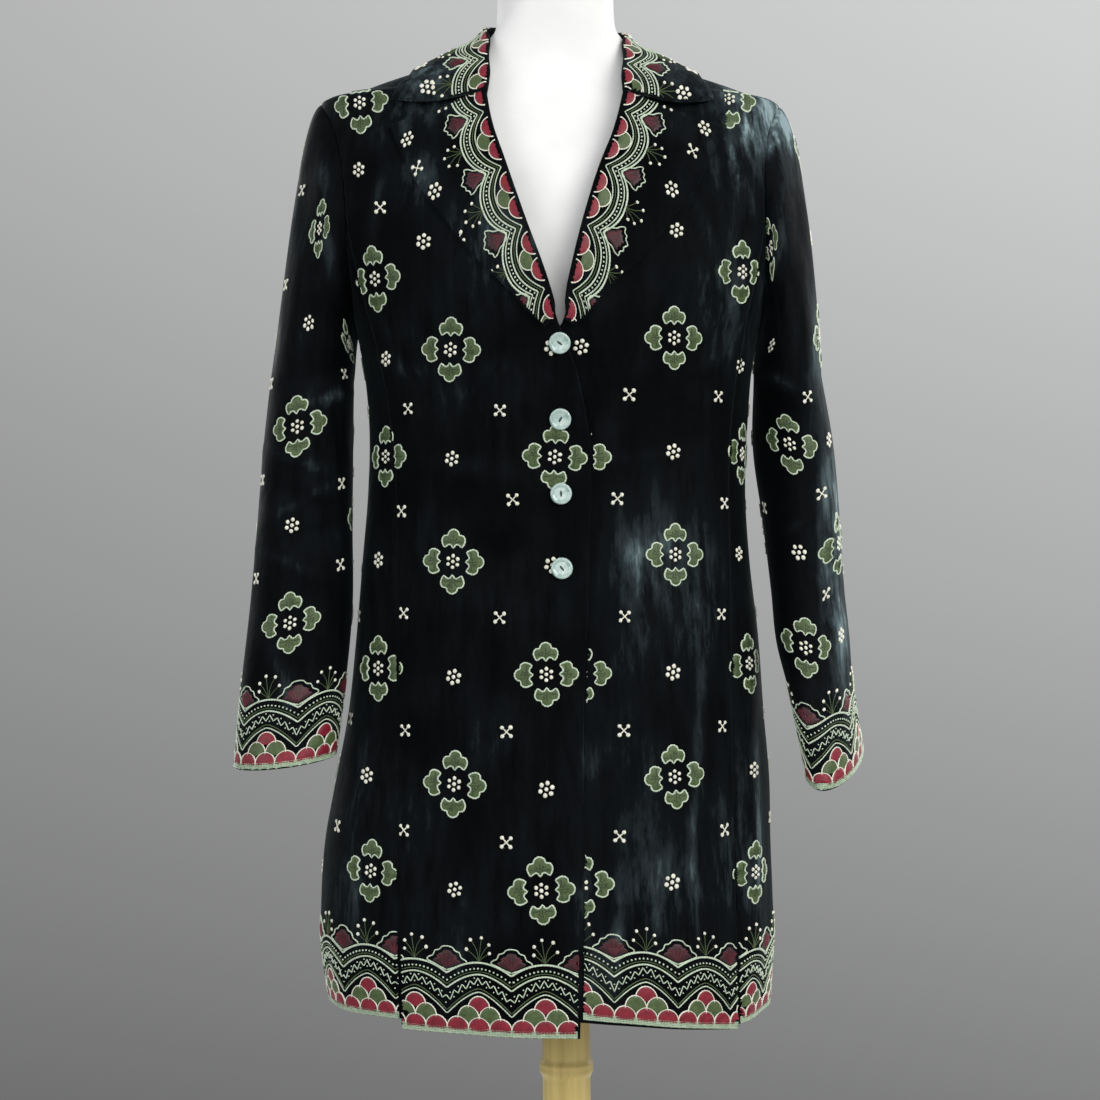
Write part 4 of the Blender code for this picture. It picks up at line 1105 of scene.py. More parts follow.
class Look:
    """A material, built node by node onto its shader."""

    def __init__(self, name, roughness, **sockets):
        self.data = bpy.data.materials.new(name)
        self.data.use_nodes = True
        self.nodes = self.data.node_tree.nodes
        self.shader = self.nodes["Principled BSDF"]
        self.shader.inputs["Roughness"].default_value = roughness
        for socket, value in sockets.items():
            self.shader.inputs[socket.replace("_", " ")].default_value = value
        self.place = self.node("ShaderNodeTexCoord").outputs["Object"]

    def node(self, kind, **settings):
        made = self.nodes.new(kind)
        for setting, value in settings.items():
            setattr(made, setting, value)
        return made

    def link(self, start, end):
        self.data.node_tree.links.new(start, end)

    def noise(self, scale, detail=3.0, stretch=(1.0, 1.0, 1.0), roughness=0.5):
        """Noise from the object's own coordinates, in metres."""
        mapping = self.node("ShaderNodeMapping")
        mapping.inputs["Scale"].default_value = stretch
        self.link(self.place, mapping.inputs["Vector"])
        texture = self.node("ShaderNodeTexNoise")
        texture.inputs["Scale"].default_value = scale
        texture.inputs["Detail"].default_value = detail
        texture.inputs["Roughness"].default_value = roughness
        self.link(mapping.outputs["Vector"], texture.inputs["Vector"])
        return texture.outputs["Fac"]

    def level(self, value, low, high):
        """Stretches a value from between low and high to 0 to 1."""
        made = self.node("ShaderNodeMapRange")
        made.inputs["From Min"].default_value = low
        made.inputs["From Max"].default_value = high
        self.link(value, made.inputs["Value"])
        return made.outputs["Result"]

    def ramp(self, value, stops):
        """Colours along a value, as (place, colour) stops."""
        ramp = self.node("ShaderNodeValToRGB")
        elements = ramp.color_ramp.elements
        while len(elements) < len(stops):
            elements.new(0.5)
        for element, (place, colour) in zip(elements, stops):
            element.position = place
            element.color = (*colour, 1.0)
        self.link(value, ramp.inputs["Fac"])
        return ramp.outputs["Color"]

    def math(self, operation, first, second):
        made = self.node("ShaderNodeMath", operation=operation)
        for socket, value in zip(made.inputs, (first, second)):
            if isinstance(value, float):
                socket.default_value = value
            else:
                self.link(value, socket)
        return made.outputs["Value"]

    def blend(self, amount, first, second, kind="MIX"):
        made = self.node("ShaderNodeMix", data_type="RGBA", blend_type=kind)
        for socket, value in zip((made.inputs[0], made.inputs[6], made.inputs[7]), (amount, first, second)):
            if isinstance(value, float):
                socket.default_value = value
            elif isinstance(value, tuple):
                socket.default_value = (*value, 1.0)
            else:
                self.link(value, socket)
        return made.outputs[2]

    def colour(self, value):
        self.link(value, self.shader.inputs["Base Color"])

    def rough(self, value, low, high):
        """Roughness between two values."""
        made = self.node("ShaderNodeMapRange")
        made.inputs["To Min"].default_value = low
        made.inputs["To Max"].default_value = high
        self.link(value, made.inputs["Value"])
        self.link(made.outputs["Result"], self.shader.inputs["Roughness"])

    def bump(self, *layers):
        """Bumps from (value, strength, distance) layers, one over the other."""
        normal = None
        for value, strength, distance in layers:
            made = self.node("ShaderNodeBump")
            made.inputs["Strength"].default_value = strength
            made.inputs["Distance"].default_value = distance
            self.link(value, made.inputs["Height"])
            if normal is not None:
                self.link(normal, made.inputs["Normal"])
            normal = made.outputs["Normal"]
        self.link(normal, self.shader.inputs["Normal"])


def velvet_look():
    """Near-black cut velvet: dark pile, paler in streaks where it is flattened, the pale tone partly
    painted sheen and highlight in its colour, with a cool shader sheen.
    """
    look = Look(
        "velvet_pile", 0.7, Specular_IOR_Level=0.03, Sheen_Weight=0.055, Sheen_Roughness=0.35,
        Sheen_Tint=(0.50, 0.66, 0.70, 1.0),
    )
    # Crushed pile with painted sheen and highlights, read from the cloth's attribute
    crushed_sheen = look.node("ShaderNodeAttribute", attribute_name="crush_and_sheen").outputs["Fac"]
    patch = look.level(look.noise(30.0, 4.0, (1.0, 1.0, 0.45), 0.6), 0.36, 0.62)
    streak = look.level(look.noise(75.0, 5.0, (1.0, 1.0, 0.18), 0.7), 0.34, 0.66)
    broad = look.level(look.noise(9.0, 2.0), 0.40, 0.66)
    mottle = look.level(look.blend(0.5, patch, streak), 0.12, 0.88)
    pressed_sheen = look.math("ADD", look.math("MULTIPLY", mottle, 0.85), look.math("MULTIPLY", crushed_sheen, 0.34))
    lift = look.math("MULTIPLY", pressed_sheen, crushed_sheen)
    faint = look.math("MULTIPLY", look.math("MULTIPLY", broad, streak), 0.40)
    amount = look.math("ADD", lift, faint)
    # Base colour from near-black to a pale blue-grey: the pale end is painted sheen on crushed pile
    look.colour(look.ramp(amount, [
        (0.00, (0.0008, 0.0010, 0.0015)), (0.25, (0.0036, 0.0048, 0.0060)),
        (0.50, (0.0180, 0.0250, 0.0280)), (0.75, (0.0700, 0.1000, 0.1080)),
        (1.00, (0.2300, 0.3050, 0.3250)),
    ]))
    look.rough(patch, 0.60, 0.84)
    nap = look.noise(2600.0, 2.0, (1.0, 1.0, 0.5))
    dents = look.noise(120.0, 4.0, (1.0, 1.0, 0.6), 0.6)
    soft = look.noise(34.0, 3.0)
    look.bump((soft, 0.35, 0.0045), (dents, 0.25, 0.0013), (nap, 0.35, 0.0004))
    return look.data


def thread_look(name, dark, pale):
    """Silky embroidery thread: strands, a soft gloss and slightly uneven dye."""
    look = Look(name, 0.42, Specular_IOR_Level=0.35, Sheen_Weight=0.08, Sheen_Roughness=0.4)
    dye = look.noise(190.0, 4.0)
    strands = look.noise(1500.0, 2.0, (1.0, 1.0, 0.35))
    amount = look.blend(0.45, dye, strands)
    look.colour(look.ramp(amount, [(0.30, dark), (0.68, pale)]))
    look.rough(dye, 0.38, 0.58)
    look.bump((dye, 0.25, 0.0006), (strands, 0.55, 0.0003))
    return look.data


def form_look():
    """Matt white cotton jersey stretched over the dress form."""
    look = Look("form_jersey", 0.8, Specular_IOR_Level=0.25, Sheen_Weight=0.25, Sheen_Roughness=0.5)
    broad = look.noise(14.0, 3.0)
    knit = look.noise(1400.0, 2.0, (1.0, 1.0, 1.6))
    look.colour(look.ramp(broad, [(0.3, (0.72, 0.72, 0.71)), (0.7, (0.82, 0.82, 0.81))]))
    look.rough(knit, 0.7, 0.9)
    look.bump((broad, 0.10, 0.0015), (knit, 0.25, 0.0003))
    return look.data


def wood_look():
    """Pale straw-yellow wood with long grain, waxed."""
    look = Look("pale_wood", 0.42, Specular_IOR_Level=0.4, Coat_Weight=0.18, Coat_Roughness=0.3)
    grain = look.noise(120.0, 5.0, (1.0, 1.0, 0.04), 0.65)
    broad = look.noise(9.0, 3.0, (1.0, 1.0, 0.3))
    pores = look.noise(900.0, 2.0, (1.0, 1.0, 0.03))
    tone = look.blend(0.4, grain, broad)
    look.colour(look.ramp(tone, [
        (0.30, (0.42, 0.31, 0.095)), (0.52, (0.58, 0.45, 0.160)), (0.72, (0.70, 0.57, 0.25)),
    ]))
    look.rough(grain, 0.34, 0.52)
    look.bump((grain, 0.16, 0.0006), (pores, 0.25, 0.0002))
    return look.data


def pearl_look():
    """Mother-of-pearl: milky, with faint green and pink clouds and a hard gloss."""
    look = Look("mother_of_pearl", 0.22, Specular_IOR_Level=0.7, Coat_Weight=0.7, Coat_Roughness=0.08)
    cloud = look.noise(160.0, 4.0, (1.0, 1.0, 0.6), 0.6)
    bands = look.noise(700.0, 3.0, (1.0, 1.0, 0.25))
    tone = look.blend(0.35, cloud, bands)
    look.colour(look.ramp(tone, [
        (0.28, (0.16, 0.27, 0.25)), (0.46, (0.27, 0.39, 0.36)), (0.60, (0.40, 0.50, 0.46)),
        (0.74, (0.50, 0.53, 0.49)),
    ]))
    look.rough(cloud, 0.14, 0.32)
    look.bump((bands, 0.12, 0.0003), (cloud, 0.10, 0.0006))
    return look.data


def floor_look():
    """Matt studio floor, pale and slightly uneven."""
    look = Look("studio_floor", 0.85, Specular_IOR_Level=0.15)
    broad = look.noise(1.6, 4.0)
    fine = look.noise(40.0, 3.0)
    look.colour(look.ramp(broad, [(0.3, (0.56, 0.56, 0.55)), (0.7, (0.62, 0.62, 0.61))]))
    look.rough(fine, 0.78, 0.92)
    look.bump((fine, 0.05, 0.0020), (broad, 0.04, 0.0100))
    return look.data


def closed_solid(rings):
    """Points and faces of a solid through closed rings, with a point in the middle of each end."""
    count, sides = rings.shape[:2]
    index, quads = ring_quads(count, sides)
    points = np.concatenate([rings.reshape(-1, 3), [rings[0].mean(0)], [rings[-1].mean(0)]])
    low, top = count * sides, count * sides + 1
    faces = quads.tolist()
    faces += [(low, int(index[0, (k + 1) % sides]), int(index[0, k])) for k in range(sides)]
    faces += [(top, int(index[-1, k]), int(index[-1, (k + 1) % sides])) for k in range(sides)]
    return points, faces


def circle(sides):
    """Turns of even steps round a circle."""
    return np.linspace(0.0, 2 * math.pi, sides + 1)[:-1]


def ovals(turns, sections):
    """Level rings as ovals, from (half width, half depth, height) sections."""
    return np.array([
        np.stack([wide * np.cos(turns), deep * np.sin(turns), np.full(len(turns), height)], axis=-1)
        for wide, deep, height in sections
    ])


def turned(corners, radius, sides, steps=4):
    """A solid turned about Z, from the corners of its profile as (radius, height), rounded."""
    corners = [np.array(corner) for corner in corners]
    line = []
    for before, corner, after in zip(corners, corners[1:], corners[2:]):
        back, ahead = before - corner, after - corner
        reach = min(radius, np.linalg.norm(back) * 0.45, np.linalg.norm(ahead) * 0.45)
        start = corner + back / np.linalg.norm(back) * reach
        end = corner + ahead / np.linalg.norm(ahead) * reach
        for t in np.linspace(0.0, 1.0, steps + 1):
            line.append((1 - t) ** 2 * start + 2 * (1 - t) * t * corner + t**2 * end)
    return closed_solid(ovals(circle(sides), [(out, out, height) for out, height in line]))


def stand():
    """The pole with its raised rings, and the round base, both of pale wood."""
    edge = [(BASE_RADIUS - inward, height) for inward, height in BASE_EDGE]
    base = [(0.0, 0.0), *edge, (0.0, BASE_HEIGHT)]
    obj = make_object("base_disc", *turned(base, BASE_ROUNDING, 128), wood)
    stand_for(obj, "stand_base")
    bottom = BASE_HEIGHT + TOUCH_GAP
    pole = [(0.0, bottom), (POLE_RADIUS, bottom)]
    for height in POLE_NODES:
        pole += [(radius, height + rise) for radius, rise in POLE_RING]
    pole += [(POLE_RADIUS, POLE_TOP), (0.0, POLE_TOP)]
    obj = make_object("pole_turned", *turned(pole, POLE_ROUNDING, 64), wood)
    stand_for(obj, "stand_pole")


def form_ring(level, angles, inset):
    """A ring of the torso, inside the cloth, and touching it only along the shoulders."""
    low, high = FORM_EASE_ENDS
    shoulder = np.clip((level - low) / (high - low), 0.0, 1.0)
    ease_in = mix(FORM_EASE_MIDDLE, FORM_EASE_MIDDLE * np.cos(angles) ** 2, shoulder)
    ring = body(level, angles, -(WALL + FORM_REST + ease_in + inset), creased=False)
    ring[:, 0] = np.clip(ring[:, 0], -ARM_PLATE, ARM_PLATE)
    if inset:
        ring[:, 2] = level
    return ring


def form():
    """The dress form: a smooth torso with flat arm plates, and its neck with a rounded cap."""
    angles = circle(FORM_SIDES) - math.pi
    rings = [form_ring(FORM_BOTTOM + rise, angles, inset) for rise, inset in FORM_FOOT]
    torso = np.linspace(FORM_LOW_LEVEL, SHOULDER_TIP, FORM_ROWS)
    shoulders = np.linspace(SHOULDER_TIP, FORM_TOP_LEVEL, FORM_SHOULDER_ROWS)[1:]
    rings += [form_ring(level, angles, 0.0) for level in np.concatenate([torso, shoulders])]
    neck = ovals(angles - math.pi / 2, [(wide, deep, height) for height, wide, deep in FORM_NECK])
    rings = refined(np.concatenate([rings, neck + (0.0, FORM_NECK_BACK, 0.0)]), 2)
    ahead = np.cos(angles)[None, :, None] ** 2
    for _ in range(FORM_SMOOTHING):
        rings[1:-1] += ahead * (rings[:-2] - 2 * rings[1:-1] + rings[2:]) / 4
    stand_for(make_object("form_body", *closed_solid(rings), jersey), "form_torso")


def button(number):
    """A dished pearl button, and the dark thread that fills the slit in its middle, its darkness partly
    painted shade of the sunken slot.
    """
    profile = [(BUTTON_RADIUS * out, BUTTON_THICKNESS * up) for out, up in BUTTON_PROFILE]
    obj = make_object(f"pearl_button_{number + 1}", *turned(profile, BUTTON_ROUNDING, 40, 3), pearl)
    slit = ovals(circle(16), [
        (SLIT_LENGTH / 2 * share, SLIT_WIDTH / 2 * share, BUTTON_THICKNESS * BUTTON_DISH + rise)
        for share, rise in SLIT_RINGS
    ])
    lean = math.radians(BUTTON_TURNS[number])
    spin = np.array([
        (math.cos(lean), math.sin(lean), 0.0), (-math.sin(lean), math.cos(lean), 0.0),
        (0.0, 0.0, 1.0),
    ])
    index, quads = ring_quads(len(SLIT_RINGS), 16)
    faces = [*quads.tolist(), index[-1].tolist()]
    # The slit's thread, dark partly as painted shade
    thread = make_object(f"button_stitch_{number + 1}", slit @ spin, faces, slit_thread_and_shade)
    height = BUTTON_TOP_HEIGHT - number * BUTTON_PITCH
    lift = OVERLAP_OUT + BUTTON_LIFT
    above = body(height + BUTTON_SLOPE_REACH, 0.0, lift, creased=False)
    below = body(height - BUTTON_SLOPE_REACH, 0.0, lift, creased=False)
    slope = above - below
    for made in (obj, thread):
        made.location = body(height, 0.0, lift, creased=False)
        made.rotation_euler = (math.pi / 2 - math.atan2(slope[1], slope[2]), 0.0, 0.0)
    stand_for(obj, f"button_{number + 1}")
    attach(thread, "root")


def light(name, place, aim, size, power, tint):
    """A soft rectangular light that points at its aim."""
    data = bpy.data.lights.new(name, "AREA")
    data.shape = "RECTANGLE"
    data.size, data.size_y = size
    data.energy = power
    data.color = tint
    obj = bpy.data.objects.new(name, data)
    obj.location = place
    obj.rotation_euler = (Vector(aim) - Vector(place)).to_track_quat("-Z", "Y").to_euler()
    bpy.context.scene.collection.objects.link(obj)


def air():
    """A plain background, graded from below to above and a little from left to right."""
    world = bpy.data.worlds.new("studio_air")
    bpy.context.scene.world = world
    world.use_nodes = True
    nodes, links = world.node_tree.nodes, world.node_tree.links
    parts = nodes.new("ShaderNodeSeparateXYZ")
    links.new(nodes.new("ShaderNodeTexCoord").outputs["Generated"], parts.inputs["Vector"])

    def spread(axis, low, high):
        made = nodes.new("ShaderNodeMapRange")
        limits = {"From Min": -AIR_REACH, "From Max": AIR_REACH, "To Min": low, "To Max": high}
        for socket, value in limits.items():
            made.inputs[socket].default_value = value
        links.new(parts.outputs[axis], made.inputs["Value"])
        return made.outputs["Result"]

    grade = nodes.new("ShaderNodeValToRGB")
    stops = grade.color_ramp.elements
    while len(stops) < len(AIR):
        stops.new(0.5)
    for stop, (where, tone) in zip(stops, AIR):
        stop.position = where
        stop.color = (tone, tone * 1.005, tone * 1.01, 1.0)
    links.new(spread("Z", 0.0, 1.0), grade.inputs["Fac"])
    links.new(grade.outputs["Color"], nodes["Background"].inputs["Color"])
    links.new(spread("X", *AIR_SIDES), nodes["Background"].inputs["Strength"])


def studio():
    """Floor, soft lights, a plain graded background and the camera of the photograph."""
    rings = ovals(circle(96), [(out, out, -drop) for out, drop in FLOOR_RINGS])
    index, quads = ring_quads(len(FLOOR_RINGS), 96)
    faces = [*quads[:, ::-1].tolist(), index[0].tolist()]
    floor = make_object("studio_floor", rings, faces, floor_look())
    floor.location = (0.0, 0.0, -FLOOR_DROP)
    floor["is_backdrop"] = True
    for settings in LIGHTS:
        light(*settings)
    air()
    data = bpy.data.cameras.new("camera")
    data.sensor_width = SENSOR_WIDTH
    data.lens = SENSOR_WIDTH * FOCAL_PIXELS / PHOTO_PIXELS
    camera = bpy.data.objects.new("camera", data)
    camera.location = CAMERA_PLACE
    camera.rotation_euler = (math.pi / 2, math.radians(CAMERA_ROLL), 0.0)
    bpy.context.scene.collection.objects.link(camera)
    bpy.context.scene.camera = camera
    bpy.context.scene.view_settings.view_transform = "Standard"


class BodyCloth:
    """A body panel as a chart: millimetres round from the middle, and height."""

    def __init__(self, name, side, middle=0.0):
        self.name, self.side, self.middle = name, side, middle

    def angles(self, level, across):
        column = int(round(math.degrees(self.middle))) - RING_TURNS[0]
        start = np.interp(level, ring_levels, ring_lengths[:, column])
        rows = (level - ring_levels[0]) / RING_STEP
        columns = (across / 1000 + start - ROUND_LOW) / ROUND_STEP
        return bilinear(ring_turns, rows, columns)

    def limits(self, level):
        """The angles between which the panel shows."""
        edge = angle_at(level, smooth(level, EDGE_RIGHT, 1), -1)
        if self.name == "front_right":
            return outer_limit(level, -1, seam_front), edge
        if self.name == "front_left":
            own = angle_at(level, smooth(level, EDGE_LEFT, 1), 1)
            return np.maximum(own, edge), outer_limit(level, 1, seam_front)
        if self.name == "side_right":
            return seam_back(level, -1), seam_front(level, -1)
        if self.name == "side_left":
            return seam_front(level, 1), seam_back(level, 1)
        return outer_limit(level, 1, seam_back), 2 * math.pi + outer_limit(level, -1, seam_back)

    def hem(self, level, angle):
        """The height of the lower edge below a place."""
        near, far = HEM[self.name]
        low, high = self.limits(level)
        share = np.clip((angle - low) / (high - low), 0.0, 1.0)
        share = 1.0 - share if self.side < 0 and self.name != "back" else share
        return mix(near, far, share)

    def lay(self, across, up, out, from_hem):
        """Points of a flat design on the cloth, and whether they are clear of its edges."""
        level = up / 1000 + (HEM[self.name][0] if from_hem else 0.0)
        angle = self.angles(level, across)
        if from_hem:
            level = up / 1000 + self.hem(level, angle)
            angle = self.angles(level, across)
        lift_side = self.side if self.name == "front_right" else 1
        points = on_body(level, angle, lift_side, out / 1000)
        low, high = self.limits(level)
        spare = EDGE_MARGIN / np.maximum(np.hypot(points[:, 0], points[:, 1]), 0.05)
        inside = (angle > low + spare) & (angle < high - spare)
        if self.name.startswith("front"):
            on_lapel = np.clip(level, LAPEL_EDGE[0, 0], LAPEL_EDGE[-1, 0])
            lapel = smooth(on_lapel, LAPEL_EDGE, 1) + LAPEL_MARGIN
            inside &= (level <= LAPEL_FOOT[1] - LAPEL_FOOT_MARGIN) | (np.abs(points[:, 0]) >= lapel)
        if self.name.startswith("side"):
            middle = (SHOULDER_TIP + UNDERARM) / 2
            tall = (SHOULDER_TIP - UNDERARM) / 2 + ARMHOLE_MARGIN
            inside &= ((level - middle) / tall) ** 2 + (points[:, 1] / ARMHOLE_DEPTH_BACK) ** 2 > 1.0
        return points, inside


class GridCloth:
    """A grid of surface points as a chart: millimetres across from one column, and up from its foot."""

    def __init__(self, grid, start, by_foot=False):
        normal = grid_normals(grid)
        outward = np.sum(normal * (grid - grid.mean(axis=(0, 1))), axis=-1).mean()
        normal = normal if outward > 0 else -normal
        steps = np.linalg.norm(np.diff(grid, axis=1), axis=2)
        across = np.concatenate([np.zeros((len(grid), 1)), np.cumsum(steps, axis=1)], axis=1)
        across -= across[:, start:start + 1]
        if by_foot:
            across[:] = across[0]
        self.low, self.high = across[:, 0], across[:, -1]
        self.start = across.min()
        places = np.arange(self.start, across.max() + CHART_STEP, CHART_STEP)
        columns = [*np.moveaxis(grid, -1, 0), *np.moveaxis(normal, -1, 0)]
        self.table = np.stack([
            np.stack([np.interp(places, row, line) for row, line in zip(across, column)])
            for column in columns
        ], axis=-1)
        climbs = np.linalg.norm(np.diff(self.table[..., :3], axis=0), axis=2)
        heights = np.concatenate([np.zeros((1, len(places))), np.cumsum(climbs, axis=0)])
        steps_up = np.arange(0.0, heights.max() + CHART_STEP, CHART_STEP)
        rows = np.arange(len(grid))
        self.rows = np.stack([np.interp(steps_up, line, rows) for line in heights.T], axis=1)
        self.tops = heights[-1]

    def lay(self, across, up, out, from_hem):
        """Points and whether they are on the cloth; its foot is its edge, so from_hem changes nothing."""
        across, up = across / 1000, up / 1000
        columns = (across - self.start) / CHART_STEP
        rows = bilinear(self.rows, up / CHART_STEP, columns)
        found = bilinear(self.table, rows, columns)
        points = found[:, :3] + unit(found[:, 3:]) * out[:, None] / 1000
        low = np.interp(rows, np.arange(len(self.low)), self.low)
        high = np.interp(rows, np.arange(len(self.high)), self.high)
        top = np.interp(columns, np.arange(len(self.tops)), self.tops)
        inside = (across > low + EDGE_MARGIN) & (across < high - EDGE_MARGIN)
        return points, inside & (up > -0.0001) & (up < top - EDGE_MARGIN)


class Design:
    """Embroidery drawn flat: points in millimetres across, up and out of the cloth."""

    def __init__(self):
        self.points, self.faces, self.threads, self.count = [], [], [], 0

    def add(self, points, faces, thread):
        self.points.append(points)
        self.faces.append(np.asarray(faces) + self.count)
        self.threads.append(np.full(len(faces), THREADS.index(thread)))
        self.count += len(points)

    def strand(self, line, thread, width=1.6, height=0.9, closed=False):
        """A chain-stitched line, a little wider and narrower from stitch to stitch."""
        line = resampled(np.asarray(line, float), STITCH, closed)
        ahead = np.roll(line, -1, axis=0) - np.roll(line, 1, axis=0)
        if not closed:
            ahead[0], ahead[-1] = line[1] - line[0], line[-1] - line[-2]
        sideways = unit(np.stack([-ahead[:, 1], ahead[:, 0]], axis=1))
        beat = 1.0 + BEAD * np.where(np.arange(len(line)) % 2, 1.0, -1.0)[:, None]
        half = sideways * width / 2 * beat
        low = np.full((len(line), 1), -SUNK)
        rows = np.stack([
            np.hstack([line + half, low]), np.hstack([line, height * beat]),
            np.hstack([line - half, low]),
        ], axis=1)
        index = np.arange(len(line) * 3).reshape(-1, 3)
        after = np.roll(index, -1, axis=0)
        reach = len(line) if closed else len(line) - 1
        faces = [
            np.stack([corner[:reach] for corner in corners], axis=1)
            for corners in (
                (index[:, 1], after[:, 1], after[:, 0], index[:, 0]),
                (index[:, 2], after[:, 2], after[:, 1], index[:, 1]),
            )
        ]
        self.add(rows.reshape(-1, 3), np.concatenate(faces), thread)

    def satin(self, outline, thread, height=0.8, base=-SUNK):
        """A leaf or scale filled with satin stitch, domed towards its middle."""
        outline = np.asarray(outline, float)
        outline = outline[:len(outline) // 2 * 2]
        count = len(outline)
        middle = outline.mean(axis=0)
        after = np.roll(outline, -1, axis=0)
        if np.sum(outline[:, 0] * after[:, 1] - after[:, 0] * outline[:, 1]) < 0:
            outline = outline[::-1]
        dome = ((1.0, base), (0.93, mix(base, height, 0.62)), (0.6, height * 0.92), (0.25, height))
        rings = [
            np.hstack([middle + (outline - middle) * share, np.full((count, 1), rise)])
            for share, rise in dome
        ]
        index, faces = ring_quads(len(dome), count)
        k = np.arange(count // 2 - 1)
        cap = index[-1][np.stack([k, k + 1, count - 2 - k, count - 1 - k], axis=1)]
        self.add(np.concatenate(rings), np.concatenate([faces, cap]), thread)

    def knot(self, x, y, radius, thread="knot", height=1.1):
        """A raised knot or a small filled eyelet."""
        turns = circle(8) + rng.uniform(0, 0.7)
        wide, tall = radius * rng.uniform(0.92, 1.08), radius * rng.uniform(0.92, 1.12)
        dome = ((1.0, -SUNK), (0.72, height * 0.72), (0.3, height))
        rings = ovals(turns, [(wide * share, tall * share, rise) for share, rise in dome])
        index, faces = ring_quads(len(dome), 8)
        cap = index[-1][np.array([[0, 1, 2, 3], [0, 3, 4, 7], [4, 5, 6, 7]])]
        self.add((rings + (x, y, 0.0)).reshape(-1, 3), np.concatenate([faces, cap]), thread)

    def knot_ring(self, count, reach, radius, first):
        """Knots round the middle, the first at a turn in degrees."""
        for k in range(count):
            turn = math.radians(360 / count * k + first)
            self.knot(reach * math.cos(turn), reach * math.sin(turn), radius)

    def place(self, other, x, y, turn=0.0, scale=1.0, flip=False):
        """Adds another design, moved, turned and scaled."""
        cosine, sine = math.cos(turn) * scale, math.sin(turn) * scale
        for points, faces, threads in zip(other.points, other.faces, other.threads):
            moved = points.copy()
            if flip:
                moved[:, 0] *= -1.0
            across = moved[:, 0] * cosine - moved[:, 1] * sine + x
            moved[:, 1] = moved[:, 0] * sine + moved[:, 1] * cosine + y
            moved[:, 0] = across
            self.points.append(moved)
            self.faces.append((faces[:, ::-1] if flip else faces) + self.count)
            self.threads.append(threads)
        self.count += other.count


def resampled(line, step, closed):
    """A line with its points an even step apart."""
    if closed:
        line = np.vstack([line, line[:1]])
    lengths = np.concatenate([[0.0], np.cumsum(np.linalg.norm(np.diff(line, axis=0), axis=1))])
    count = max(3, int(round(lengths[-1] / step)))
    places = np.linspace(0.0, lengths[-1], count + 1)
    if closed:
        places = places[:-1]
    return np.stack([np.interp(places, lengths, values) for values in line.T], axis=1)


def curve(points, closed=False, steps=4):
    """A smooth line through points."""
    points = np.asarray(points, float)
    if closed:
        points = np.vstack([points[-1:], points, points[:2]])
    else:
        points = np.vstack([2 * points[0] - points[1], points, 2 * points[-1] - points[-2]])
    t = (np.arange(steps) / steps)[:, None]
    line = [spline(*corners, t) for corners in zip(points, points[1:], points[2:], points[3:])]
    if not closed:
        line.append(points[-2:-1])
    return np.vstack(line)


def mirrored(points):
    """A half outline from its left end to its tip, with its other half."""
    points = np.asarray(points, float)
    other = points[:-1][::-1] * (-1.0, 1.0)
    return np.vstack([points, other])


def medallion():
    """Four three-lobed petals round a ring of seven knots."""
    design, petal = Design(), Design()
    line = curve(np.vstack([mirrored(PETAL), PETAL_FOOT]), True, 3)
    petal.satin(line, "sage", 0.55)
    for vein in PETAL_VEINS:
        petal.strand(curve(vein), "moss", 1.8, 1.15)
    petal.strand(line, "cream", 1.75, 1.0, True)
    for quarter in range(4):
        design.place(petal, 0.0, 0.0, quarter * math.pi / 2)
    design.knot(0.0, 0.0, 1.75)
    design.knot_ring(6, 4.8, 1.75, 28)
    return design


def flower():
    """Seven knots, one in the middle."""
    design = Design()
    design.knot(0.0, 0.0, 1.9)
    design.knot_ring(6, 5.1, 2.0, 20)
    return design


def cross():
    """Four slanting arms, each ending in a knot."""
    design = Design()
    for k in range(2):
        turn = math.radians(90 * k + 45)
        end = np.array([math.cos(turn), math.sin(turn)]) * 4.2
        design.strand([-end, end], "knot", 1.3, 0.9)
    design.knot_ring(4, 5.0, 1.85, 45)
    return design


def scale_outline(x, spring, crest, width):
    """A fish scale: an arch over a flat foot."""
    turn = np.linspace(0.0, math.pi, 12)
    arch = np.stack([x + width / 2 * np.cos(turn), spring + (crest - spring) * np.sin(turn)], axis=1)
    foot = np.array([[x - width * 0.42, spring - 2.6], [x + width * 0.42, spring - 2.6]])
    return arch, np.vstack([arch, foot])


def lotus(outline, veins, size):
    """A bud between two leaves, with burgundy stitches at its foot."""
    design = Design()
    line = curve(mirrored(outline), True, 3) * size
    design.satin(line * (0.72, 0.80) + (0.0, 1.0), "burgundy", 0.45)
    for vein in veins:
        design.strand(curve(vein) * (0.74 * size, 0.84 * size) + (0.0, 1.0), "crimson", 1.0, 0.7)
    design.strand(line, "cream", 1.3, 0.95, True)
    return design


def sprig(stems):
    """Thin stems that fan out to knots."""
    design = Design()
    for x, y, bend in stems:
        design.strand(curve([(0.0, 0.0), (x * 0.35 + bend, y * 0.55), (x, y)]), "sage", 0.8, 0.5)
        design.knot(x, y, 1.7)
    return design


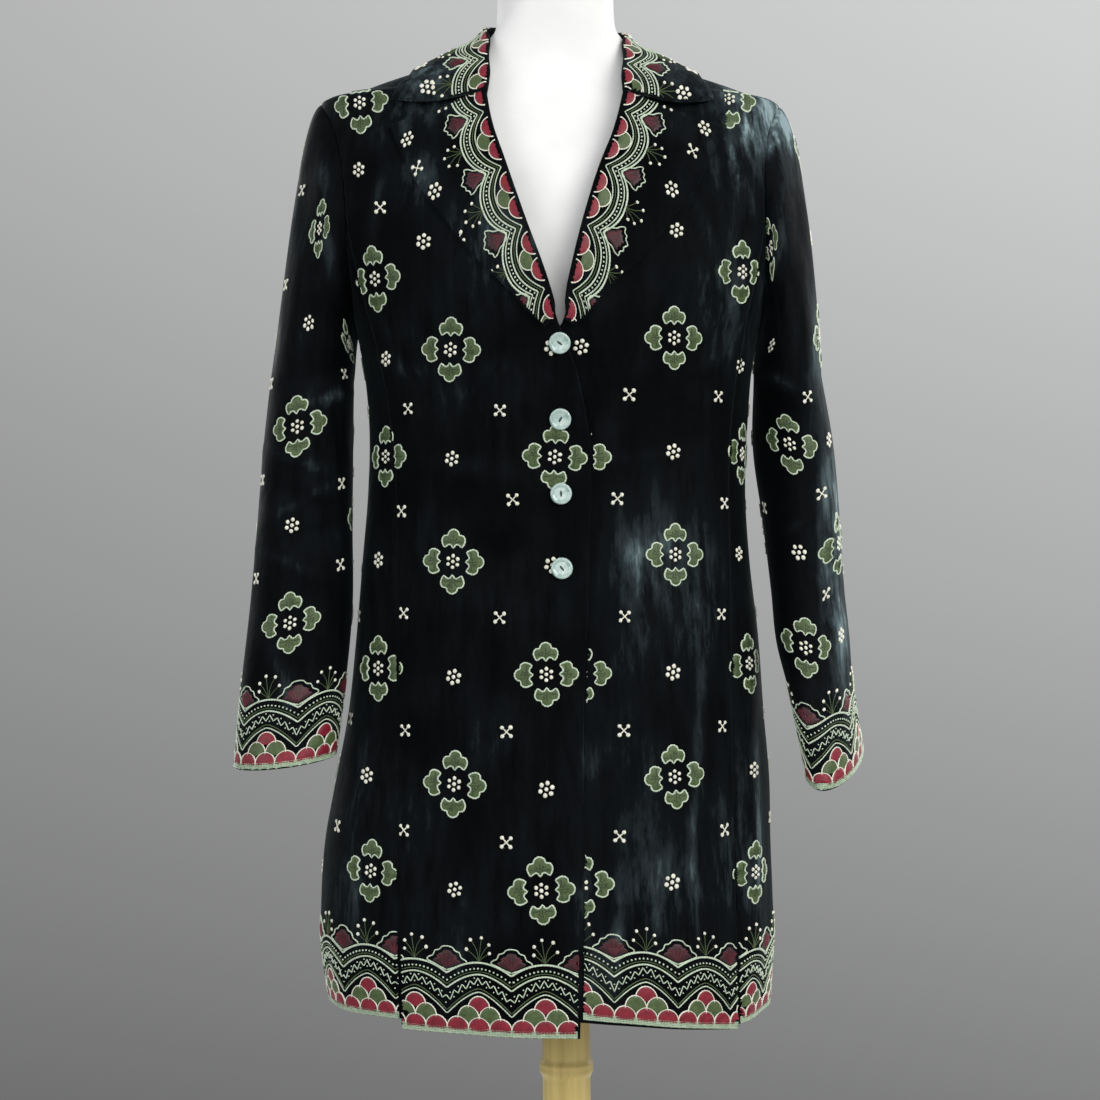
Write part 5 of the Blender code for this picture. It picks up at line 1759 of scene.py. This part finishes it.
def border(start, end, junction_x, kind):
    """A scalloped border between two places along an edge."""
    pitch, lines, scales, zigzag, (bud_outline, bud_veins, bud_line, sprig_line, size) = kind
    design = Design()
    first = math.floor((start - junction_x) / pitch) - 1
    repeats = range(first, math.ceil((end - junction_x) / pitch) + 2)

    def scallop(place, crest, junction, power):
        """The height of a scalloped line."""
        away = np.abs(((place - junction_x) / pitch) % 1.0 - 0.5) * 2.0
        return junction + (crest - junction) * (1.0 - away**power)

    for crest_shift, spring, crest, width, thread, rise in scales:
        for repeat in repeats:
            middle = junction_x + (repeat + 0.5) * pitch + crest_shift * pitch
            arch, whole = scale_outline(middle, spring, crest, width * pitch)
            design.satin(whole, thread, 0.5 + rise, -0.2)
            design.strand(arch, "knot", 1.4, 0.75 + rise)
    for crest, junction, power, width, thread, dotted in lines:
        if dotted:
            for place in np.arange(start, end, DOT_PITCH):
                design.knot(place, float(scallop(place, crest, junction, power)), 0.9, thread, 0.8)
            continue
        x = np.arange(start, end + LINE_SPARE, LINE_STEP)
        design.strand(np.stack([x, scallop(x, crest, junction, power)], axis=1), thread, width, 0.85)
    if zigzag:
        *course, swing, period = zigzag
        turns = np.arange(start, end + period / 2, period / 2)
        sides = np.where(np.arange(len(turns)) % 2, 1.0, -1.0)
        middle = scallop(turns, *course)
        height = middle + swing * sides * rng.uniform(0.75, 1.15, len(turns))
        design.strand(np.stack([turns, height], axis=1), "cream", 1.15, 0.8)
        for place, level, side in list(zip(turns, middle, sides))[:-1]:
            beside = place + rng.uniform(-0.5, 0.5)
            design.knot(beside, level - side * (swing + 0.4), 0.7, "cream", 0.7)
    bud = lotus(bud_outline, bud_veins, size)
    for repeat in repeats:
        where = junction_x + repeat * pitch
        design.place(bud, where, bud_line, rng.uniform(-0.05, 0.05), rng.uniform(0.96, 1.04))
        spray = sprig(SPRIG)
        turn, scale = rng.uniform(-0.08, 0.08), size * rng.uniform(0.94, 1.04)
        design.place(spray, where + pitch / 2, sprig_line, turn, scale, bool(repeat % 2))
    return design


def stitched(name, cloth, layers):
    """One object from designs laid on a cloth, without what would reach past the cloth's edges."""
    points, faces, threads, count = [], [], [], 0
    for design, from_hem in layers:
        if not design.count:
            continue
        flat = np.concatenate(design.points)
        placed, inside = cloth.lay(flat[:, 0], flat[:, 1], flat[:, 2], from_hem)
        corners = np.concatenate(design.faces)
        kept = inside[corners].all(axis=1)
        points.append(placed)
        faces.append(corners[kept] + count)
        threads.append(np.concatenate(design.threads)[kept])
        count += len(placed)
    points, faces, threads = np.concatenate(points), np.concatenate(faces), np.concatenate(threads)
    used, index = np.unique(faces.ravel(), return_inverse=True)
    obj = make_object(name, points[used], index.reshape(-1, 4).tolist(), stitch_looks, threads)
    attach(obj, "root")
    return obj


def scattered(chart, makers):
    """Motifs at the places of a chart, each turned and scaled a little."""
    design = Design()
    for kind, *places in chart:
        for across, up in places:
            turn = 0.07 * math.sin(across * 1.3 + up * 0.7)
            size = 1.0 + 0.04 * math.sin(across * 0.9 + up * 1.9)
            design.place(makers[kind](), across, up, turn, size)
    return design


def edging(design, start, end):
    """Rows of satin stitch along an edge, with a raised lip."""
    for row, up in enumerate(EDGING_ROWS):
        across = np.arange(start, end + LINE_SPARE, EDGING_STEP)
        waver = 0.10 * np.sin(across * 0.9 + row * 1.7)
        design.strand(np.stack([across, up + waver], axis=1), "edging", 1.9, 0.8 if row else 1.2)


def back_chart():
    """The back's motifs, in a half-drop repeat that is even about its middle."""
    chart = []
    for across, up in BACK_COLUMNS:
        for step in range(-4, 5):
            height = up + step * BACK_PITCH // 2
            kind = "flower" if step % 2 else "medallion"
            if BACK_LOW < height < BACK_HIGH - abs(across) // 3:
                chart.append((kind, (across, height)))
    for across, up in BACK_CROSSES:
        for step in range(-5, 4):
            height = up + step * BACK_PITCH // 2
            if BACK_LOW + 30 < height < BACK_HIGH - abs(across) // 3:
                chart.append(("cross", (across, height)))
    return chart


for obj in [item for item in bpy.data.objects if item.type in ("CAMERA", "LIGHT")]:
    bpy.data.objects.remove(obj, do_unlink=True)

velvet = velvet_look()
jersey = form_look()
wood = wood_look()
pearl = pearl_look()
slit_thread_and_shade = thread_look("button_slit_thread_and_shade", *BUTTON_SLIT_THREAD_AND_SHADE)
stitch_looks = [thread_look(f"thread_{name}", dark, pale) for name, dark, pale in DYES]

form()
stand()
for number in range(BUTTON_COUNT):
    button(number)

for name, side, places in (
    ("front_right", -1, front_places(-1, "front_right")),
    ("front_left", 1, front_places(1, "front_left")),
    ("side_right", 1, side_places(-1, "side_right")),
    ("side_left", 1, side_places(1, "side_left")),
    ("back", 1, back_places("back")),
):
    cloth_piece(panel(name, places, side), name)
grids = {}
for name, table in (("sleeve_right", SLEEVE_RIGHT), ("sleeve_left", SLEEVE_LEFT)):
    outer, inner = sleeve_skins(name, table)
    grids[name] = outer
    made = shell(f"{name}_cloth", outer, inner, velvet, closed=True, cloth=name)
    cloth_piece(made, name)
for side, name in ((-1, "lapel_right"), (1, "lapel_left")):
    outer, inner = lapel_skins(side)
    grids[name] = outer
    cloth_piece(shell(f"{name}_cloth", outer, inner, velvet), name)
under, away = collar_skins()
grids["collar"] = under + away * CLOTH
cloth_piece(shell("collar_cloth", grids["collar"], under, velvet), "collar")

makers = {"medallion": medallion, "flower": flower, "cross": cross}
body_cloths = {
    "front_right": BodyCloth("front_right", -1), "front_left": BodyCloth("front_left", 1),
    "side_right": BodyCloth("side_right", -1), "side_left": BodyCloth("side_left", 1),
    "back": BodyCloth("back", 1, math.pi),
}
charts = {
    "front_right": RIGHT_CHART, "front_left": LEFT_CHART, "side_right": SIDE_RIGHT_CHART,
    "side_left": SIDE_LEFT_CHART, "back": back_chart(),
}
charts["front_right"] = charts["side_right"] = charts["front_right"] + charts["side_right"]
charts["front_left"] = charts["side_left"] = charts["front_left"] + charts["side_left"]
for name, start, end, junction_x, kind in HEM_RUNS:
    run = border(start, end, junction_x, kind)
    edging(run, start, end)
    motifs = scattered(charts[name], makers)
    stitched(f"{name}_stitches", body_cloths[name], [(run, True), (motifs, False)])

for name, chart in (("sleeve_right", SLEEVE_RIGHT_CHART), ("sleeve_left", SLEEVE_LEFT_CHART)):
    grid = np.roll(grids[name][::-1], -SLEEVE_TURNS // 2, axis=1)
    grid = np.concatenate([grid, grid[:, :1]], axis=1)
    cloth = GridCloth(grid if name == "sleeve_right" else grid[:, ::-1], SLEEVE_TURNS // 2)
    low, high = cloth.low[0] * 1000, cloth.high[0] * 1000
    pitch = (high - low) / CUFF_REPEATS
    run = border(low, high, low, (pitch, HEM_LINES, HEM_SCALES, HEM_ZIGZAG, HEM_BUDS))
    edging(run, low, high)
    stitched(f"{name}_stitches", cloth, [(run, False), (scattered(chart, makers), False)])
for name, chart in (
    ("lapel_right", LAPEL_RIGHT_CHART), ("lapel_left", LAPEL_LEFT_CHART), ("collar", COLLAR_CHART),
):
    run = border(*BAND_RUNS[name], BAND_KIND)
    if name == "collar":
        cloth = GridCloth(grids[name][2 * COLLAR_REFINE:], COLLAR_COLUMNS // 2, True)
    else:
        cloth = GridCloth(grids[name][len(ROLL_TURNS):], 0)
    stitched(f"{name}_stitches", cloth, [(run, False), (scattered(chart, makers), False)])

studio()

low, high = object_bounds()
